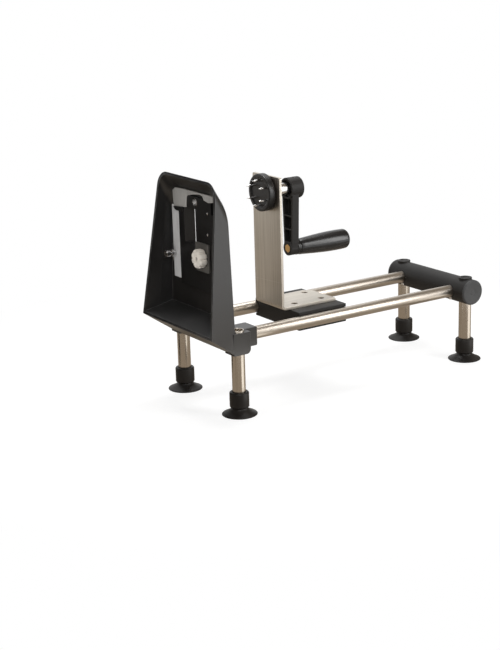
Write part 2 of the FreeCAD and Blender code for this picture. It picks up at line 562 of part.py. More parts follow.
def blade_hood():
    piece = make_body("blade_hood")
    rim_height = "(RimTop - RimBottom) / cos(RimLean)"
    back_slope = "(BackBottomHalf - BackTopHalf) / (BackTop - BackBottom)"

    front = rim_sketch(piece)
    draw_hood_section(front, "0", rim_height, "RimBottomHalf", "RimTopHalf", "RimCorner")
    back = make_sketch(piece, "YZ_Plane", "BackX")
    draw_hood_section(back, "BackBottom", "BackTop", "BackBottomHalf", "BackTopHalf", "BackCorner")
    hood_loft(piece, "AdditiveLoft", front, back)

    mouth = rim_sketch(piece)
    draw_hood_section(mouth, "(FloorFront - RimBottom) / cos(RimLean)", f"{rim_height} - HoodWall",
                      "RimBottomHalf - HoodWall", "RimTopHalf - HoodWall", "RimCorner - HoodWall")
    crease = make_sketch(piece, "YZ_Plane", "CreaseX", "CreaseBottom", "CreaseLean")
    draw_hood_section(crease, "0", "(CreaseTop - CreaseBottom) / cos(CreaseLean)",
                      "CreaseBottomHalf", "CreaseTopHalf", "CreaseCorner")
    panel = make_sketch(piece, "YZ_Plane", PANEL_FRONT)
    draw_hood_section(panel, "FloorBack", "BackTop - HoodWall",
                      f"BackBottomHalf - (FloorBack - BackBottom) * {back_slope} - HoodWall",
                      "BackTopHalf - HoodWall", "BackCorner - HoodWall")
    hood_loft(piece, "SubtractiveLoft", mouth, crease, panel)

    # The groove round the rim leaves a thin lip inside it.
    ring = rim_sketch(piece)
    for inset in ("RimGrooveInset", "RimGrooveInset + RimGrooveWidth"):
        draw_hood_section(ring, inset, f"{rim_height} - ({inset})", f"RimBottomHalf - ({inset})",
                          f"RimTopHalf - ({inset})", f"RimCorner - ({inset})")
    pocket(piece, ring, "RimGrooveDepth")

    # The wedge between the chute floor and the apron is hollow, open to the rear.
    apron = "(RimBottom - (RimBottom - BackBottom) * ({0} - RimFootX) / (BackX - RimFootX))"
    chute = "(FloorFront + (FloorBack - FloorFront) * ({0} - RimFootX) / (BackX - RimFootX))"
    deep, open_end = "(BackX - HollowDepth)", f"(BackX + {OVERCUT})"
    wedge = make_sketch(piece, "XZ_Plane")
    draw_outline(wedge, [
        (deep, f"{apron.format(deep)} + 1.3 * HoodWall"),
        (open_end, f"{apron.format(open_end)} + 1.3 * HoodWall"),
        (open_end, f"{chute.format(open_end)} - HoodWall"),
        (deep, f"{chute.format(deep)} - HoodWall")])
    pocket(piece, wedge, "2 * HollowHalf", both=True)

    blocks = make_sketch(piece, "XY_Plane", "BackBottom")
    for side in (-1, 1):
        draw_rectangle(blocks, PANEL_FRONT, "BlockRearX",
                       f"{side} * BlockInnerHalf", f"{side} * BlockOuterHalf")
    pad(piece, blocks, "BlockTop - BackBottom")
    soften(piece, "BlockRound", lambda edge: lies_at(edge, x="BlockRearX", z="BackBottom"))

    collars = make_sketch(piece, "XY_Plane", "CollarBottom")
    for side in (-1, 1):
        draw_rectangle(collars, "BackX - PanelThickness / 2", COLLAR_REAR,
                       f"{side} * (RodSpacing / 2 - CollarHalf)", f"{side} * (RodSpacing / 2 + CollarHalf)")
    pad(piece, collars, "CollarTop - CollarBottom")
    soften(piece, "CollarRound", lambda edge: lies_at(edge, x=COLLAR_REAR))

    window = make_sketch(piece, "YZ_Plane", f"BackX + {OVERCUT}")
    draw_rectangle(window, "WindowRight", "WindowLeft", "WindowBottom", "WindowTop")
    pocket(piece, window, f"PanelThickness + 2 * {OVERCUT}", forward=False)

    bore(piece, "XY_Plane", [("FrontLegX", f"{side} * Track / 2") for side in (-1, 1)],
         "LegDiameter + 2 * SocketFit", f"BackBottom - {OVERCUT}",
         f"FrontLegTop - BackBottom + SocketFit + {OVERCUT}")
    bore(piece, "YZ_Plane", mirrored_pair("RodSpacing / 2", "RodHeight"),
         "RodDiameter + 2 * SocketFit", f"{COLLAR_REAR} + {OVERCUT}",
         f"{COLLAR_REAR} + {OVERCUT} - {ROD_FRONT}", forward=False)
    bore(piece, "XY_Plane", [(f"{COLLAR_REAR} - GrubInset", f"{side} * RodSpacing / 2") for side in (-1, 1)],
         "GrubDiameter", f"CollarBottom - {OVERCUT}", f"RodHeight - CollarBottom + {OVERCUT}")
    bore(piece, "YZ_Plane", [("TensionY", "TensionHeight")], "TensionShank + 2 * SocketFit",
         f"BackX + {OVERCUT}", f"PanelThickness + 2 * {OVERCUT}", forward=False)
    return keep("blade_hood", piece)


def blade_cassette():
    """The insert in the panel window, with a slot that flares towards the outlet side."""
    piece = make_body("blade_cassette")
    flange = make_sketch(piece, "YZ_Plane", PANEL_FRONT)
    step = "WindowTop - CassetteStep"
    draw_outline(flange, [
        ("WindowRight - CassetteLip", "WindowBottom - CassetteLip"),
        ("WindowLeft + CassetteLip", "WindowBottom - CassetteLip"),
        ("WindowLeft + CassetteLip", step), ("WindowLeft - CassetteLip / 2", step),
        ("WindowLeft - CassetteLip / 2", "WindowTop - CassetteFit"),
        ("WindowRight + CassetteLip / 2", "WindowTop - CassetteFit"),
        ("WindowRight + CassetteLip / 2", step), ("WindowRight - CassetteLip", step)])
    pad(piece, flange, "CassetteFlange", forward=False)
    core = make_sketch(piece, "YZ_Plane", PANEL_FRONT)
    draw_rectangle(core, "WindowRight + CassetteFit", "WindowLeft - CassetteFit",
                   "WindowBottom + CassetteFit", "WindowTop - CassetteFit")
    pad(piece, core, "PanelThickness + CassetteProud")

    slot = make_sketch(piece, "XY_Plane", "SlotBottom")
    draw_outline(slot, [
        (f"{FLANGE_FRONT} - {OVERCUT}", "0"), (f"{CASSETTE_BACK} + {OVERCUT}", "0"),
        (f"{CASSETTE_BACK} + {OVERCUT}", "SlotWidth"), (CASSETTE_BACK, "SlotWidth"),
        (FLANGE_FRONT, "SlotWidth + SlotFlare"), (f"{FLANGE_FRONT} - {OVERCUT}", "SlotWidth + SlotFlare")])
    pocket(piece, slot, "SlotTop - SlotBottom")

    depth = f"{CASSETTE_BACK} - {FLANGE_FRONT} + 2 * {OVERCUT}"
    start = f"{FLANGE_FRONT} - {OVERCUT}"
    bore(piece, "YZ_Plane", [("0", "ShaftHeight")], "CoringDiameter + 2 * SocketFit", start, depth)
    bore(piece, "YZ_Plane", [("ClampY", "ClampHeight")], "StudDiameter + 2 * SocketFit", start, depth)
    for row in (BLADE_ROW, COMB_ROW):
        bore(piece, "YZ_Plane", [(row, height) for height in BLADE_SCREW_HEIGHTS],
             "BladeScrewShank + 2 * SocketFit", CASSETTE_BACK, "PanelThickness", forward=False)
    return keep("blade_cassette", piece)


def slicing_blade():
    """A steel blade that rises off the cassette towards its bevelled edge over the slot."""
    piece = make_body("slicing_blade")
    section = make_sketch(piece, "XY_Plane", BLADE_BOTTOM)
    face = CASSETTE_BACK
    draw_outline(section, [
        (face, "-1 * BladeWidth"), (face, "-0.42 * BladeWidth"),
        (f"{face} + BladeLift", "BladeOverlap"),
        (f"{face} + BladeLift + 0.5 * BladeSheet", "BladeOverlap - 2 * BladeSheet"),
        (f"{face} + BladeSheet", "-0.48 * BladeWidth"), (f"{face} + BladeSheet", "-1 * BladeWidth")])
    pad(piece, section, BLADE_LENGTH)
    bore(piece, "YZ_Plane", [(BLADE_ROW, height) for height in BLADE_SCREW_HEIGHTS],
         "BladeScrewShank + 2 * SocketFit", f"{face} - {OVERCUT}", f"BladeSheet + 2 * {OVERCUT}")
    return keep("slicing_blade", piece)


def comb_strip():
    """A steel strip beside the slot with a row of lancet teeth that split the slice into strands."""
    piece = make_body("comb_strip")
    face = CASSETTE_BACK
    edge = "(SlotWidth + CombGap)"
    base = make_sketch(piece, "XY_Plane", BLADE_BOTTOM)
    draw_rectangle(base, face, f"{face} + CombSheet", edge, f"{edge} + CombWidth")
    pad(piece, base, BLADE_LENGTH)
    bore(piece, "YZ_Plane", [(COMB_ROW, height) for height in BLADE_SCREW_HEIGHTS],
         "BladeScrewShank + 2 * SocketFit", f"{face} - {OVERCUT}", f"CombSheet + 2 * {OVERCUT}")
    margin = "((SlotTop - SlotBottom + BladeEndMargin) - (ToothCount - 1) * ToothPitch - ToothSheet) / 2"
    lancet = make_sketch(piece, "XY_Plane", f"{BLADE_BOTTOM} + {margin}")
    draw_outline(lancet, [
        (f"{face} + CombSheet / 2", edge), (f"{face} + CombSheet / 2", f"{edge} + ToothLength"),
        (f"{face} + CombSheet", f"{edge} + ToothLength"),
        (f"{face} + CombSheet + ToothHeight", f"{edge} + 0.3 * ToothLength"),
        (f"{face} + CombSheet + 0.8 * ToothHeight", edge)])
    tooth = pad(piece, lancet, "ToothSheet")
    row = piece.newObject("PartDesign::LinearPattern", "comb_strip_teeth")
    row.Originals = [tooth]
    row.Direction = (next(item for item in piece.Origin.OriginFeatures if item.Role == "Z_Axis"), [""])
    row.setExpression("Length", bound("(ToothCount - 1) * ToothPitch"))
    row.setExpression("Occurrences", bound("ToothCount"))
    piece.Tip = row
    return keep("comb_strip", piece)


def flat_screws(name, row, seat):
    """Two small screws whose heads lie on the blade or the comb strip."""
    profile = [
        ("0", "-1 * PanelThickness"), ("BladeScrewShank / 2", "-1 * PanelThickness"),
        ("BladeScrewShank / 2", "0"), ("BladeScrewHead / 2", "0"), ("BladeScrewHead / 2", "0.5"),
        ("BladeScrewHead / 2 - 0.6", "1.1"), ("0", "1.1")]
    screws = [turned(f"{name}_{number}", profile, seat, row, height, ALONG_X)
              for number, height in enumerate(BLADE_SCREW_HEIGHTS, 1)]
    return keep(name, group(name, screws))


def coring_tube():
    """The tube on the crank axis, ground sharp at its food end."""
    length = f"({CASSETTE_BACK} + CoringReach - {FLANGE_FRONT})"
    inner = "(CoringDiameter / 2 - CoringWall)"
    piece = turned("coring_tube", [
        (inner, "0"), ("CoringDiameter / 2", "0"), ("CoringDiameter / 2", f"{length} - 2 * CoringWall"),
        (f"{inner} + 0.1", length), (inner, length)],
        FLANGE_FRONT, "0", "ShaftHeight", ALONG_X)
    return keep("coring_tube", piece)


def clamp():
    plate = make_body("clamp_plate")
    face = make_sketch(plate, "YZ_Plane", FLANGE_FRONT)
    middle = "(ClampY + ClampPlateShift)"
    draw_rectangle(face, f"{middle} - ClampPlateWidth / 2", f"{middle} + ClampPlateWidth / 2",
                   "ClampHeight - ClampPlateHeight / 2", "ClampHeight + ClampPlateHeight / 2")
    pad(plate, face, "ClampPlateSheet", forward=False)
    soften(plate, "ClampPlateSheet", lambda edge: abs(edge.Vertexes[0].Point.x - edge.Vertexes[-1].Point.x) > 1)
    bore(plate, "YZ_Plane", [("ClampY", "ClampHeight")], "StudDiameter + 2 * SocketFit",
         f"{CLAMP_FRONT} - {OVERCUT}", f"ClampPlateSheet + 2 * {OVERCUT}")
    keep("clamp_plate", plate)

    # Own Z points along the part's -X, from the cassette to the knob's face.
    towards_front = FreeCAD.Rotation(FreeCAD.Vector(0, 1, 0), -90)
    stud_length = f"({CASSETTE_BACK} - {KNOB_BACK} + KnobLength - StudRecess)"
    keep("clamp_stud", turned("clamp_stud", [
        ("0", "0"), ("StudDiameter / 2", "0"), ("StudDiameter / 2", f"{stud_length} - 0.6"),
        ("StudDiameter / 2 - 0.6", stud_length), ("0", stud_length)],
        CASSETTE_BACK, "ClampY", "ClampHeight", towards_front))

    hole = "(StudDiameter / 2 + ShaftFit)"
    knob = turned("clamp_knob", [
        (hole, "0"), ("KnobDiameter / 2 - KnobRound", "0"),
        ("KnobDiameter / 2", "KnobRound", "KnobRound", 1),
        ("KnobDiameter / 2", "KnobLength - KnobRound"),
        ("KnobDiameter / 2 - KnobRound", "KnobLength", "KnobRound", 1),
        (f"{hole} + 1.2", "KnobLength"), (hole, "KnobLength - 1.2")],
        KNOB_BACK, "ClampY", "ClampHeight", towards_front)
    hollow = make_sketch(knob, "XY_Plane", f"-1 * {OVERCUT}")
    draw_circle(hollow, "KnobDiameter / 2 + KnobScallop / 4", "0", "KnobScallop")
    pattern_round(knob, pocket(knob, hollow, f"KnobLength + 2 * {OVERCUT}"), "KnobLobes")
    keep("clamp_knob", knob)


def tension_screw():
    """The pale clamping strip at the left, its socket screw, ring nut and small wire clip."""
    strip = make_body("clamping_strip")
    face = make_sketch(strip, "YZ_Plane", PANEL_FRONT)
    draw_rectangle(face, "StripInner", "StripInner + StripWidth", "StripBottom", "StripTop")
    pad(strip, face, "StripSheet", forward=False)
    bore(strip, "YZ_Plane", [("TensionY", "TensionHeight")], "TensionShank + 2 * SocketFit",
         f"{PANEL_FRONT} + {OVERCUT}", f"StripSheet + 2 * {OVERCUT}", forward=False)
    keep("clamping_strip", strip)

    head_front = f"({PANEL_FRONT} - TensionReach)"
    screw_end = f"(BackX + BackNutLength + 1)"
    screw = turned("socket_screw", [
        ("0", "0"), ("TensionHead / 2 - 0.5", "0"), ("TensionHead / 2", "0.5", "0.5", 1),
        ("TensionHead / 2", "TensionHeadLength"), ("TensionShank / 2", "TensionHeadLength"),
        ("TensionShank / 2", f"{screw_end} - {head_front}"), ("0", f"{screw_end} - {head_front}")],
        head_front, "TensionY", "TensionHeight", ALONG_X)
    socket = make_sketch(screw, "XY_Plane")
    draw_hexagon(socket, "0", "0", "TensionSocket")
    pocket(screw, socket, "0.55 * TensionHeadLength")
    keep("socket_screw", screw)

    inner = "(TensionShank / 2 + SocketFit)"
    nut_front = f"({head_front} + TensionHeadLength + RingNutGap)"
    keep("ring_nut", turned("ring_nut", [
        (inner, "0"), ("RingNutDiameter / 2 - 0.4", "0"), ("RingNutDiameter / 2", "0.4"),
        ("RingNutDiameter / 2", "RingNutLength"), (inner, "RingNutLength")],
        nut_front, "TensionY", "TensionHeight", ALONG_X))

    # The clip is one turn of wire round the screw with a straight tail that points down.
    clip = make_body("wire_clip", f"{nut_front} + RingNutLength + ClipWire", "TensionY", "TensionHeight", ALONG_X)
    loop = make_sketch(clip, "XZ_Plane")
    draw_circle(loop, "TensionShank / 2 + SocketFit + ClipWire / 2", "0", "ClipWire")
    turn = clip.newObject("PartDesign::Revolution", "wire_clip_loop")
    turn.Profile = loop
    turn.ReferenceAxis = (loop, ["V_Axis"])
    turn.Angle = 360
    tail = make_sketch(clip, "YZ_Plane", "TensionShank / 2 + SocketFit + ClipWire / 2")
    draw_circle(tail, "0", "0", "0.96 * ClipWire")
    pad(clip, tail, "ClipReach")
    keep("wire_clip", clip)


def back_nuts():
    """Hexagon nut behind the panel on the socket screw."""
    nut = make_body("back_nut", "BackX", "TensionY", "TensionHeight", ALONG_X)
    outline = make_sketch(nut, "XY_Plane")
    draw_hexagon(outline, "0", "0", "BackNutFlats")
    draw_circle(outline, "0", "0", "TensionShank + 2 * SocketFit")
    pad(nut, outline, "BackNutLength")
    keep("back_nut", nut)


def frame():
    """Four legs on suction feet and the two slide rods."""
    ends = (("front", "FrontLegX", "FrontLegTop"), ("rear", REAR_LEG_X, REAR_LEG_TOP))
    sides = (("left", "Track / 2", "RodSpacing / 2"), ("right", "-1 * Track / 2", "-1 * RodSpacing / 2"))
    for end, x, top in ends:
        for side, y, _ in sides:
            length = f"{top} - FootSocketFloor"
            keep(f"{end}_{side}_leg", tube(
                f"{end}_{side}_leg", "LegDiameter", "LegWall", length, x, y, "FootSocketFloor"))
            keep(f"{end}_{side}_foot", suction_foot(f"{end}_{side}_foot", x, y))
    for side, _, y in sides:
        keep(f"{side}_rod", tube(
            f"{side}_rod", "RodDiameter", "RodWall", f"{ROD_REAR} - {ROD_FRONT}",
            ROD_FRONT, y, "RodHeight", ALONG_X))


def suction_foot(name, x, y):
    rim, sleeve = "FootRimDiameter / 2", "FootSleeveDiameter / 2"
    leg = "(LegDiameter / 2 + SocketFit)"
    return turned(name, [
        ("0", "FootCupDepth"), ("FootCupCentre / 2", "FootCupDepth"),
        (f"{rim} - FootRimFlat", "0", "2.6 * FootRimDiameter / 2", -1),
        (rim, "0"), (rim, "FootRimEdge"),
        ("FootNeckDiameter / 2", "FootNeckHeight", "1.25 * FootRimDiameter / 2", -1),
        (sleeve, "FootNeckHeight + 1.4 * FootLip"), (sleeve, "FootTop - FootLip"),
        (f"{sleeve} - FootLip", "FootTop", "FootLip", 1),
        (f"{leg} + 0.6 * FootLip", "FootTop"), (leg, "FootTop - 0.6 * FootLip"),
        (leg, "FootSocketFloor"), ("0", "FootSocketFloor")], x, y)


def rear_bar():
    piece = make_body("rear_bar", REAR_LEG_X, "0", "BarHeight")
    barrel = make_sketch(piece, "XZ_Plane")
    draw_circle(barrel, "0", "0", "BarDiameter")
    pad(piece, barrel, "2 * (BarHalf - CapThickness)", both=True)
    legs = [("0", "-1 * Track / 2"), ("0", "Track / 2")]
    bosses = make_sketch(piece, "XY_Plane")
    for u, v in legs:
        draw_circle(bosses, u, v, "BossDiameter")
    pad(piece, bosses, "BossTop - BarHeight")
    bore(piece, "XY_Plane", legs, "0.66 * BossDiameter", "BossTop - BarHeight", "BossDish", forward=False)
    bore(piece, "XY_Plane", legs, "LegDiameter + 2 * SocketFit", f"-1 * BarDiameter / 2 - {OVERCUT}",
         f"{REAR_LEG_TOP} - BarHeight + BarDiameter / 2 + {OVERCUT}")
    bore(piece, "YZ_Plane", mirrored_pair("RodSpacing / 2", "RodHeight - BarHeight"),
         "RodDiameter + 2 * SocketFit", f"-1 * BarDiameter / 2 - {OVERCUT}",
         f"BarDiameter / 2 + {OVERCUT} - LegDiameter / 2 - RodEndGap")
    bore(piece, "XY_Plane", [(GRUB_IN_BAR, f"{side} * RodSpacing / 2") for side in (-1, 1)],
         "GrubDiameter", f"-1 * BarDiameter / 2 - {OVERCUT}",
         f"BarDiameter / 2 + {OVERCUT} + RodHeight - BarHeight - RodDiameter / 2 + 0.5")
    for plane_offset, forward in (("BarHalf - CapThickness", False), ("-1 * (BarHalf - CapThickness)", True)):
        bore(piece, "XZ_Plane", [("0", "0")], "CapSpigotDiameter + 2 * SocketFit",
             plane_offset, "CapSpigot", forward)
    keep("rear_bar", piece)

    for side, y, angle in (("left", "BarHalf", -90), ("right", "-1 * BarHalf", 90)):
        outward = FreeCAD.Rotation(FreeCAD.Vector(1, 0, 0), angle + 180)
        keep(f"{side}_bar_cap", turned(f"{side}_bar_cap", [
            ("0", "0"), ("BarDiameter / 2 - CapRound", "0"), ("BarDiameter / 2", "CapRound", "CapRound", 1),
            ("BarDiameter / 2", "CapThickness"), ("CapSpigotDiameter / 2", "CapThickness"),
            ("CapSpigotDiameter / 2", "CapThickness + CapSpigot - 0.5"), ("0", "CapThickness + CapSpigot - 0.5")],
            REAR_LEG_X, y, "BarHeight", outward))


def grub_screws():
    """Small socket grub screws that press on the rods from below."""
    length = "(RodHeight - RodDiameter / 2 - CollarBottom - 0.4)"
    profile = [
        ("0", "0.8"), ("GrubDiameter / 4", "0.8"), ("GrubDiameter / 4", "0"), ("GrubDiameter / 2 - 0.2", "0"),
        ("GrubDiameter / 2 - 0.02", "0.2"), ("GrubDiameter / 2 - 0.02", length), ("0", length)]
    screws = []
    for number, (x, y) in enumerate(
            [(f"{COLLAR_REAR} - GrubInset", f"{side} * RodSpacing / 2") for side in (-1, 1)]
            + [(f"{REAR_LEG_X} + {GRUB_IN_BAR}", f"{side} * RodSpacing / 2") for side in (-1, 1)], 1):
        screws.append(turned(f"grub_screw_{number}", profile, x, y, "CollarBottom + 0.3"))
    keep("rod_grub_screws", group("rod_grub_screws", screws))


SCREW_SPOTS = [(f"ScrewRow - {back} * ScrewPitch", f"{side} * ScrewSpan / 2")
               for back in (0, 1) for side in (-1, 1)]


def carriage_block():
    """The moulded slider, grooved along both sides for the rods."""
    piece = make_body("carriage_block", "CarriageFront")
    section = make_sketch(piece, "YZ_Plane")
    draw_rectangle(section, "-1 * CarriageHalf", "CarriageHalf", "CarriageBottom", "CarriageTop")
    pad(piece, section, "CarriageLength")
    soften(piece, "CarriageRound", lambda edge: lies_at(edge, x="0") or lies_at(edge, x="CarriageLength"))
    bore(piece, "YZ_Plane", mirrored_pair("RodSpacing / 2", "RodHeight"), "RodDiameter + 2 * SlideFit",
         f"-1 * {OVERCUT}", f"CarriageLength + 2 * {OVERCUT}")
    bore(piece, "XY_Plane", [(f"{x} - CarriageFront", y) for x, y in SCREW_SPOTS],
         "ScrewShank + 2 * SocketFit", "CarriageTop", f"ScrewDepth + {OVERCUT}", forward=False)
    return keep("carriage_block", piece)


def carriage_bracket():
    """The bent steel upright that carries the crank."""
    piece = make_body("carriage_bracket")
    foot_end = "(PlateFront + BracketFoot)"
    profile = make_sketch(piece, "XZ_Plane")
    draw_outline(profile, [
        ("PlateFront", "BracketTop"), ("PlateFront", "CarriageTop + BracketBend"),
        ("PlateFront + BracketBend", "CarriageTop", "BracketBend", 1),
        (foot_end, "CarriageTop"), (foot_end, "CarriageTop + BracketSheet"),
        ("PlateFront + BracketBend", "CarriageTop + BracketSheet"),
        ("PlateFront + BracketSheet", "CarriageTop + BracketBend", "BracketBend - BracketSheet", -1),
        ("PlateFront + BracketSheet", "BracketTop")])
    pad(piece, profile, "BracketWidth", both=True)
    soften(piece, "BracketCorner", lambda edge: lies_at(edge, x=foot_end, y="BracketWidth / 2"), "Chamfer")
    soften(piece, "BracketRound", lambda edge: lies_at(edge, z="BracketTop")
           and abs(edge.Vertexes[0].Point.x - edge.Vertexes[-1].Point.x) > 1)
    bore(piece, "YZ_Plane", [("0", "ShaftHeight")], "BushSpigot + 2 * SocketFit",
         f"PlateFront - {OVERCUT}", f"BracketSheet + 2 * {OVERCUT}")
    bore(piece, "XY_Plane", SCREW_SPOTS, "ScrewHead + 4 * SocketFit",
         f"CarriageTop + BracketSheet + {OVERCUT}", f"BracketSheet + 2 * {OVERCUT}", forward=False)
    return keep("carriage_bracket", piece)


def bracket_screws():
    top = "(CarriageTop + BracketSheet - ScrewSink)"
    profile = [
        ("0", f"CarriageTop - ScrewDepth - {top}"), ("ScrewShank / 2", f"CarriageTop - ScrewDepth - {top}"),
        ("ScrewShank / 2", "-1 * ScrewHeadHeight"), ("ScrewHead / 2", "-0.3"), ("ScrewHead / 2", "0"),
        ("ScrewHead / 5", "0"), ("ScrewHead / 5", "-0.6 * ScrewHeadHeight"), ("0", "-0.6 * ScrewHeadHeight")]
    screws = [turned(f"bracket_screw_{number}", profile, x, y, top)
              for number, (x, y) in enumerate(SCREW_SPOTS, 1)]
    keep("bracket_screws", group("bracket_screws", screws))


def shaft_bush():
    bore_radius = "(ShaftDiameter / 2 + ShaftFit)"
    length = "(HubFront - FaceGap - PlateFront)"
    keep("shaft_bush", turned("shaft_bush", [
        (bore_radius, "0"), ("BushSpigot / 2", "0"), ("BushSpigot / 2", "BracketSheet"),
        ("BushDiameter / 2", "BracketSheet"), ("BushDiameter / 2", f"{length} - 0.5"),
        ("BushDiameter / 2 - 0.5", length), (bore_radius, length)],
        "PlateFront", "0", "ShaftHeight", ALONG_X))


def crank_shaft():
    front = f"({HOLDER_FRONT} + HolderFloor)"
    length = f"(HubFront + HubLength - HubFloor - {front})"
    keep("crank_shaft", turned("crank_shaft", [
        ("0", "0"), ("ShaftDiameter / 2 - 0.5", "0"), ("ShaftDiameter / 2", "0.5"),
        ("ShaftDiameter / 2", f"{length} - 0.5"), ("ShaftDiameter / 2 - 0.5", length), ("0", length)],
        front, "0", "ShaftHeight", ALONG_X))


def food_holder():
    """A dished disc; its prongs are steel pins set in a ring."""
    socket = "(ShaftDiameter / 2 + SocketFit)"
    piece = turned("food_holder", [
        ("0", "HolderDish"), ("0.74 * HolderDiameter / 2", "HolderDish"),
        ("0.82 * HolderDiameter / 2", "0"),
        ("HolderDiameter / 2 - HolderRound", "0"), ("HolderDiameter / 2", "HolderRound", "HolderRound", 1),
        ("HolderDiameter / 2", "HolderThickness - HolderRound"),
        ("HolderDiameter / 2 - HolderRound", "HolderThickness", "HolderRound", 1),
        (socket, "HolderThickness"), (socket, "HolderFloor"), ("0", "HolderFloor")],
        HOLDER_FRONT, "0", "ShaftHeight", ALONG_X)
    hole = make_sketch(piece, "XY_Plane")
    draw_circle(hole, "ProngRing", "0", "ProngDiameter + 2 * SocketFit")
    pattern_round(piece, pocket(piece, hole, "HolderDish + ProngRoot"), "ProngCount")
    keep("food_holder", piece)

    length = "(ProngRoot + ProngLength)"
    towards_food = FreeCAD.Rotation(FreeCAD.Vector(0, 1, 0), -90)
    prongs = []
    for number in range(int(value("ProngCount"))):
        angle = f"(90 + {number} * 360 / ProngCount)"
        prongs.append(turned(f"prong_{number + 1}", [
            ("0", "0"), ("ProngDiameter / 2", "0"), ("ProngDiameter / 2", f"{length} - ProngPoint"),
            ("0.2", length), ("0", length)],
            f"{HOLDER_FRONT} + HolderDish + ProngRoot", f"ProngRing * cos{angle}",
            f"ShaftHeight + ProngRing * sin{angle}", towards_food))
    keep("holder_prongs", group("holder_prongs", prongs))


def crank_arm():
    """A moulded arm with a hub and an end boss; the channel between them is open to the front."""
    piece = make_body("crank_arm", "HubFront", "0", "ShaftHeight")
    end = "(-1 * CrankRadius)"
    arm = make_sketch(piece, "YZ_Plane", "ArmSetBack")
    draw_outline(arm, [("-1 * ArmEndWidth / 2", end), ("ArmEndWidth / 2", end),
                       ("ArmTopWidth / 2", "0"), ("-1 * ArmTopWidth / 2", "0")])
    pad(piece, arm, "ArmDepth")
    hub = make_sketch(piece, "YZ_Plane")
    draw_circle(hub, "0", "0", "HubDiameter")
    pad(piece, hub, "HubLength")
    boss = make_sketch(piece, "YZ_Plane")
    draw_circle(boss, "0", end, "ArmBoss")
    pad(piece, boss, "ArmSetBack + ArmDepth")
    soften(piece, "ArmSetBack", lambda edge: lies_at(edge, x="HubLength"))

    def half_inside(depth):
        return f"((ArmTopWidth - (ArmTopWidth - ArmEndWidth) * ({depth}) / CrankRadius) / 2 - ArmWall)"

    cells = make_sketch(piece, "YZ_Plane")
    for low, high in (("HubDiameter / 2 - 0.4", "RibOne"), ("RibOne + ArmRib", "RibTwo"),
                      ("RibTwo + ArmRib", "CrankRadius - ArmBoss / 2 + 0.6")):
        draw_outline(cells, [
            (f"-1 * {half_inside(low)}", f"-1 * ({low})"), (half_inside(low), f"-1 * ({low})"),
            (half_inside(high), f"-1 * ({high})"), (f"-1 * {half_inside(high)}", f"-1 * ({high})")])
    pocket(piece, cells, "ArmSetBack + ArmDepth - ArmWall")

    ring = make_sketch(piece, "YZ_Plane")
    draw_circle(ring, "0", "0", "HubRingOuter")
    draw_circle(ring, "0", "0", "HubRingInner")
    pocket(piece, ring, "HubRingDepth")
    bore(piece, "YZ_Plane", [("0", "0")], "ShaftDiameter + 2 * SocketFit", "0", "HubLength - HubFloor")
    nest = make_sketch(piece, "YZ_Plane")
    draw_hexagon(nest, "0", end, "(InsertFlats + 2 * SocketFit)")
    pocket(piece, nest, "InsertLength")
    bore(piece, "YZ_Plane", [("0", end)], "SpindleDiameter + 2 * SocketFit", "0",
         f"ArmSetBack + ArmDepth + {OVERCUT}")
    bore(piece, "XY_Plane", [("HubLength / 2 + ArmSetBack", "0")], "GrubDiameter",
         "ShaftDiameter / 2", "HubDiameter / 2")
    keep("crank_arm", piece)

    pin_length = "(HubDiameter / 2 - ShaftDiameter / 2 - 0.6)"
    keep("arm_grub_screw", turned("arm_grub_screw", [
        ("0", "0"), ("GrubDiameter / 2 - 0.02", "0"), ("GrubDiameter / 2 - 0.02", pin_length),
        ("GrubDiameter / 4", pin_length), ("GrubDiameter / 4", f"{pin_length} - 1.6"),
        ("0", f"{pin_length} - 1.6")],
        "HubFront + HubLength / 2 + ArmSetBack", "0", "ShaftHeight + ShaftDiameter / 2 + 0.1"))


